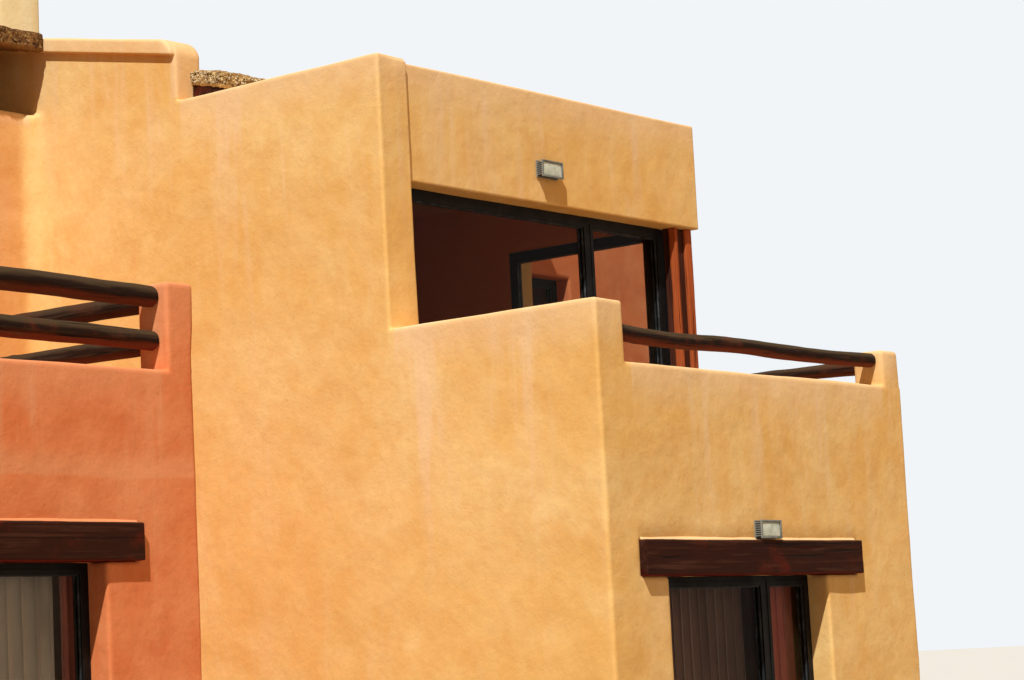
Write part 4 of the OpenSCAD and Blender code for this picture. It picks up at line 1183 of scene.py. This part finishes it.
def wing_rails():
    x0, x1 = RED_LEFT[1][0], RED_RIGHT[0][0]
    y = (RED_OVER[0][1] + RED_OVER[1][1]) / 2
    lo, hi = near("red_side_rails")
    front, sides = Heap(), Heap()
    for k, z in enumerate(RAIL_Z):
        thick, thin = RAIL_D * (1.18 + 0.07 * k), RAIL_D * (0.97 + 0.09 * k)
        front.add(*log_mesh((x0, y, z + 0.02 + 0.03 * k), (x1, y, z + 0.01 + 0.015 * k), thick, thin,
                            (0, 0, RAIL_BOW / 2), 11 + k, loose=0.5))
    for side in (RED_LEFT, RED_RIGHT):
        x = (side[0][0] + side[1][0]) / 2
        for k, z in enumerate(RAIL_Z):
            bow, seed = (RAIL_BOW, 0, RAIL_BOW * (1 - k)), 21 + k + int(abs(x) * 3)
            sides.add(*log_mesh((x, lo[1], z + 0.01 * k), (x, hi[1], z + 0.07 * k), RAIL_D, RAIL_D * TAPER,
                                bow, seed, girth=36, loose=0.6))
    front.piece("wing_front_rails", LOG_X, ("red_front_rails",))
    sides.piece("wing_side_rails", LOG_Y, ("red_side_rails",))


def fillet(name, beam, face, material):
    """A thin fillet of plaster in the angle between a lintel's top and the wall's face."""
    (x0, _, _), (x1, _, top) = beam
    rings = []
    for x in np.arange(x0 + 0.004, x1 - 0.004, 0.03):
        size = 0.7 + 0.3 * ripple(x * 2.7, face, 1.3)
        rings.append([(x, face + 0.012, top - 0.006), (x, face - 0.026 * size, top - 0.006),
                      (x, face - 0.024 * size, top + 0.003), (x, face - 0.010 * size, top + 0.012 * size),
                      (x, face - 0.003, top + 0.026 * size), (x, face + 0.012, top + 0.030)])
    Heap(skin(rings)).piece(name, material)


def beams():
    wing = (RED_LINTEL[0], (RED_LINTEL[1][0] + 0.04, RED_LINTEL[1][1], RED_LINTEL[1][2] + 0.02))
    posts = solids("corner_posts")
    (a0, a1), (b0, b1) = posts
    narrow = [(a0, (a0[0] + 0.060, a1[1], a1[2])), (b0, (b1[0], b0[1] + 0.043, b1[2]))]
    # painted shade: dark boards fill the gap between the two posts and the gap between the window frame and
    # the first post, where only shade shows
    shade_boards = [((a0[0] + 0.050, a0[1] + 0.038, a0[2]), (b0[0] + 0.05, a1[1], a1[2])),
              ((near("upper_window_frame")[1][0] - 0.01, a1[1] - 0.01, a0[2]), (a0[0] + 0.012, 2.51, a1[2]))]
    rafters = solids("roof_rafters")
    under = MUD_SLAB[1][2] - SLAB_T - (MUD_SLAB[1][1] - MUD_SLAB[0][1]) * SLOPE
    front = MUD_SLAB[0][1]
    bearer = ((SLAB_CORNER + 0.02, front + 0.02, ROOF_LINE - 0.01),
              (rafters[0][0][0], front + 0.15, under + 0.03))
    side_bearer = ((SLAB_CORNER + 0.012, front + 0.14, ROOF_LINE - 0.02),
                   (WALL_T + 0.01, GABLE_Y - 0.004, sloped(under + 0.02, front, GABLE_Y)))
    large, small = {"soft": 0.014, "worn": 0.004}, {"soft": 0.012, "worn": 0.003}
    for name, boxes, axis, seed, material, replaced, form in (
            ("ground_lintel_beam", [LINTEL], 0, 5, BEAM_X, ("ground_lintel",), large),
            ("wing_lintel_beam", [wing], 0, 9, BEAM_X, ("red_lintel",), large),
            ("corner_post_timbers", narrow, 2, 30, POST, ("corner_posts",),
             {"soft": 0.006, "worn": 0.002, "checks": 5, "spacing": 0.009}),
            ("corner_post_shade_boards", shade_boards, 2, 34, BEAM_Z, (),
             {"soft": 0.004, "worn": 0.0015, "checks": 3, "spacing": 0.012}),
            ("rafter_timbers", rafters, 1, 40, BEAM_Y, ("roof_rafters",),
             {**small, "checks": 4, "spacing": 0.02, "lift": SLOPE})):
        meshes = [beam_mesh(*box, axis, seed + k, **form) for k, box in enumerate(boxes)]
        Heap(*meshes).piece(name, material, replaced)
    bearers = Heap(beam_mesh(*bearer, 0, 55, checks=3, **small))
    bearers.add(*beam_mesh(*side_bearer, 1, 56, checks=3, lift=SLOPE, **small))
    bearers.piece("slab_corner_bearers", BEAM_X)
    fillet("ground_lintel_fillet", LINTEL, 0.0, OCHRE)
    fillet("wing_lintel_fillet", wing, RED_OVER[0][1], RED)


def canopy_timbers():
    lo, hi = near("canopy_frame")
    y = (lo[1] + hi[1]) / 2
    top = sloped(CANOPY[0][2], CANOPY[0][1], lo[1])
    foot = top - CANOPY_BEAM_H
    heap = Heap(beam_mesh((lo[0], lo[1], foot), (hi[0], hi[1], top + 0.01), 0, 60, soft=0.02, spacing=0.018))
    for k in range(3):
        x = lo[0] + CANOPY_POST_D + k * (hi[0] - lo[0] - 2 * CANOPY_POST_D) / 2
        heap.add(*log_mesh((x, y, lo[2]), (x + 0.001, y, foot + 0.01), CANOPY_POST_D, CANOPY_POST_D * 0.96,
                           (0, 0, 0), 70 + k, girth=28, checks=3, knots=2))
    heap.piece("canopy_beam_and_posts", BEAM_X, ("canopy_frame",))


# windows

SASH = 0.045
SASH_OUT = 0.007
BEAD_W = 0.009
BEAD_IN = 0.010


def swapped(box, turned):
    """A box, or the same box with x and y changed over."""
    if not turned:
        return box
    (x0, y0, z0), (x1, y1, z1) = box
    return (y0, x0, z0), (y1, x1, z1)


def surround(lo, hi, w):
    """Four bars, w wide, along the inside of an upright rectangle's edges."""
    (x0, y0, z0), (x1, y1, z1) = lo, hi
    return [((x0, y0, z0), (x0 + w, y1, z1)), ((x1 - w, y0, z0), (x1, y1, z1)),
            ((x0 + w, y0, z1 - w), (x1 - w, y1, z1)), ((x0 + w, y0, z0), (x1 - w, y1, z0 + w))]


def sash(pane, depth, turned):
    """Bars of the sash and beads round one pane; depth is the reach of its frame through the wall."""
    (u0, w0, z0), (u1, w1, z1) = swapped(pane, turned)
    bars, beads = [], []
    for face, out, pane_face in ((depth[0], -1, w0), (depth[1], 1, w1)):
        a, b = sorted((face + out * SASH_OUT, face - out * 0.002))
        bars += surround((u0 - SASH, a, z0 - SASH), (u1 + SASH, b, z1 + SASH), SASH)
        a, b = sorted((pane_face, face - out * BEAD_IN))
        beads += surround((u0, a, z0), (u1, b, z1), BEAD_W)
    return [[swapped(box, turned) for box in boxes] for boxes in (bars, beads)]


def windows():
    """Sashes and glazing beads on the CAD frames, whose own edges get a small bevel."""
    for name, node in (("upper", "upper"), ("ground", "ground"), ("wing", "red"), ("rear", "rear")):
        frames = node + ("_window_frames" if name == "rear" else "_window_frame")
        bevel = frame["nodes"][frames].modifiers.new("bevel", "BEVEL")
        bevel.width, bevel.segments, bevel.limit_method = 0.004, 2, "ANGLE"
        bars, beads = [], []
        for pane in solids(node + "_glass"):
            (x0, y0, _), (x1, y1, _) = pane
            turned = x1 - x0 < 0.1
            mid = (x0 + x1) / 2 if turned else (y0 + y1) / 2
            more = sash(pane, (mid - FRAME_T / 2, mid + FRAME_T / 2), turned)
            bars += more[0]
            beads += more[1]
        for kind, boxes, material in (("_window_sashes", bars, FRAME_PAINT), ("_window_beads", beads, BEAD)):
            Heap(bevelled(boxes, 0.003)).piece(name + kind, material, smooth=False)


# lamps

RIM = 0.016
PLATE_T = 0.014
FINS = 7
FIN_REACH = 0.022
LAMP_BEVEL = 0.003
RIBS = 20
RIB_H = 0.0009
BULGE = 0.006


def lamps():
    """Bulkhead lamps: a wall plate, a finned housing, a rim and a ribbed glass."""
    metal, dark, front = Heap(), Heap(), Heap()
    for lo, hi in solids("wall_lamps"):
        (x0, y0, z0), (x1, y1, z1) = lo, hi
        metal.add(*bevelled([((x0, y1 - PLATE_T, z0), hi)], LAMP_BEVEL))
        housing = ((x0 + 0.018, y0 + 0.012, z0 + 0.012), (x1 - 0.018, y1 - 0.012, z1 - 0.012))
        dark.add(*bevelled([housing], 0.004))
        pitch = (z1 - z0 - 0.03) / FINS
        bars = []
        for k in range(FINS):
            z = z0 + 0.015 + (k + 0.5) * pitch
            for a, b in ((x0, x0 + FIN_REACH), (x1 - FIN_REACH, x1)):
                bars.append(((a, y0 + PLATE_T, z - pitch * 0.22), (b, y1 - PLATE_T, z + pitch * 0.22)))
        metal.add(*bevelled(bars, LAMP_BEVEL / 2))
        metal.add(*bevelled(surround(lo, (x1, y0 + RIM, z1), RIM), LAMP_BEVEL))
        front.add(*ribbed_glass((x0 + RIM, y0 + 0.012, z0 + RIM), (x1 - RIM, z1 - RIM)))
        for x in (x0 + RIM / 2, x1 - RIM / 2):
            for z in (z0 + RIM / 2, z1 - RIM / 2):
                metal.add(*screw_head(x, y0, z))
    metal.piece("lamp_rims_and_fins", LAMP_METAL, ("wall_lamps",), smooth=False)
    dark.piece("lamp_housings", LAMP_DARK, smooth=False)
    front.piece("lamp_glasses", LAMP_GLASS)


def ribbed_glass(corner, opposite):
    """A pane that bulges a little towards the front and is ribbed from top to bottom."""
    (x0, y, z0), (x1, z1) = corner, opposite
    across, up = 60, 14
    verts = []
    for side in (0, 1):
        for j in range(up + 1):
            for i in range(across + 1):
                u, v = i / across, j / up
                out = 0.0
                if side == 0:
                    out = RIB_H * math.cos(u * TURN * RIBS)
                    if 0 < u < 1 and 0 < v < 1:
                        out += BULGE * math.sin(math.pi * u) ** 0.5 * math.sin(math.pi * v) ** 0.5
                verts.append((x0 + (x1 - x0) * u, y + side * BULGE - out, z0 + (z1 - z0) * v))
    n = across + 1
    half = n * (up + 1)
    quads = grid_faces(across, up)
    faces = quads + [(half + a, half + d, half + c, half + b) for a, b, c, d in quads]
    rim = (list(range(across)) + list(range(across, half - 1, n)) + list(range(half - 1, half - n, -1))
           + list(range(half - n, 0, -n)))
    faces += [(b, a, half + a, half + b) for a, b in zip(rim, rim[1:] + rim[:1])]
    return verts, faces


def screw_head(x, y, z):
    """A small domed screw head that faces the front."""
    return skin([[(x + size * c, y + 0.002 + out, z + size * s) for c, s in circle(10)]
                 for out, size in ((0.0, 0.0045), (-0.0012, 0.0045), (-0.0022, 0.0032), (-0.0027, 0.0012))])


# curtains

FOLD_DEPTH = 0.032
ROD_R = 0.011
ROD_END = [(0, 0.004), (0.006, 0.018), (0.016, 0.022), (0.028, 0.018), (0.034, ROD_R)]
ROD_REACH = 0.07
RING_R = 0.018
RING_T = 0.003


def curtain(name, x0, x1, y, z0, z1, material, seed, folds):
    """A curtain that hangs in folds from rings on its rod; its flat size is its own developed one."""
    rng = random.Random(seed)
    steps = folds * 14
    rows = max(8, int((z1 - z0) / 0.055))
    phase = [rng.uniform(-0.5, 0.5) for _ in range(folds + 2)]
    verts = []
    for j in range(rows + 1):
        fall = j / rows
        for i in range(steps + 1):
            share = i / steps
            k = share * folds
            local = phase[int(k)] * (1 - k % 1) + phase[int(k) + 1] * (k % 1)
            turn = TURN * k + local * (0.4 + 0.6 * fall)
            swing = FOLD_DEPTH * (0.78 + 0.22 * fall) * (1 + 0.18 * math.sin(k * 1.7 + seed))
            x = x0 + (x1 - x0) * share + 0.012 * math.sin(2 * turn + 0.8)
            drift = 0.006 * ripple(x * 3, fall * 2.2, seed)
            verts.append((x, y + swing * math.sin(turn) + drift, z1 + (z0 - z1) * fall))
    sheet = Heap((verts, grid_faces(steps, rows))).piece(name, material)
    rod_z = z1 + 0.022
    length = x1 - x0 + 2 * ROD_REACH
    profile = ROD_END + [(length / 2, ROD_R)] + [(length - s, r) for s, r in reversed(ROD_END)]
    rod = Heap(skin([[(x0 - ROD_REACH + s, y + r * a, rod_z + r * b) for a, b in circle(20)]
                     for s, r in profile]))
    for x in (x0 - 0.02, x1 + 0.02):
        arm = ((x - 0.008, y - 0.082, rod_z - 0.006), (x + 0.008, y, rod_z + 0.004))
        plate = ((x - 0.02, y - 0.088, rod_z - 0.035), (x + 0.02, y - 0.080, rod_z + 0.035))
        rod.add(*bevelled([arm, plate], 0.002))
    for k in range(folds):
        rod.add(*ring_mesh(x0 + (x1 - x0) * (k + 0.25) / folds, y, rod_z))
    made = rod.piece(name + "_rod", ROD_METAL)


def ring_mesh(x, y, z):
    """A curtain ring round a rod that lies along x."""
    n, m = 18, 8
    verts = [(x + RING_T * d, y + (RING_R + RING_T * c) * a, z - 0.006 + (RING_R + RING_T * c) * b)
             for a, b in circle(n) for c, d in circle(m)]
    return verts, band_faces(n, m, closed=True)


def curtains():
    for door, wall_y, floor_node, pair in (
            (GROUND_FRAME, FRONT_T, "ground_floor",
             (("ground_curtain_left", 0.10, 1.72, BROWN_CLOTH, 2, 12),
              ("ground_curtain_right", 1.96, None, ROSE_CLOTH, 5, 5))),
            (RED_DOOR, RED_OVER[1][1], "red_ground_floor",
             (("wing_curtain_left", 0.06, 2.40, GREY_CLOTH, 9, 16),
              ("wing_curtain_right", 2.50, None, ROSE_CLOTH, 12, 2)))):
        left, right, head = door[0][0], door[1][0], door[1][2] + 0.11
        foot = near(floor_node)[1][2] + 0.02
        for name, start, end, material, seed, folds in pair:
            x1 = right + 0.02 if end is None else left + end
            curtain(name, left + start, x1, wall_y + 0.09, foot, head, material, seed, folds)


def main():
    camera()
    lights()
    floor()
    ochre_walls()
    fascia_wall()
    red_walls()
    rear_walls()
    side_wing()
    clerestory()
    chimney()
    mud_slab("mud_roof_slab", "mud_roof", SLAB_T, MUD, SLAB_CORNER)
    mud_slab("canopy_slab", "canopy_roof", CANOPY_T, CANOPY_MUD)
    strewn("mud_roof_pebbles", pebble_mesh, "mud_roof", SLAB_T, 620, 1, PEBBLE, SLAB_CORNER)
    strewn("canopy_pebbles", pebble_mesh, "canopy_roof", CANOPY_T, 700, 2, CANOPY_PEBBLE)
    strewn("mud_roof_straw", straw_mesh, "mud_roof", SLAB_T, 300, 3, STRAW, SLAB_CORNER)
    strewn("canopy_straw", straw_mesh, "canopy_roof", CANOPY_T, 320, 4, STRAW)
    terrace_logs()
    wing_rails()
    beams()
    canopy_timbers()
    windows()
    lamps()
    curtains()
    for row in frame["record"]["subparts"]:
        materials = frame["nodes"][row["node"]].data.materials
        materials.clear()
        materials.append(SLOTS[row["material_slot"]][0])
    bpy.context.scene.view_settings.view_transform = "Standard"


main()
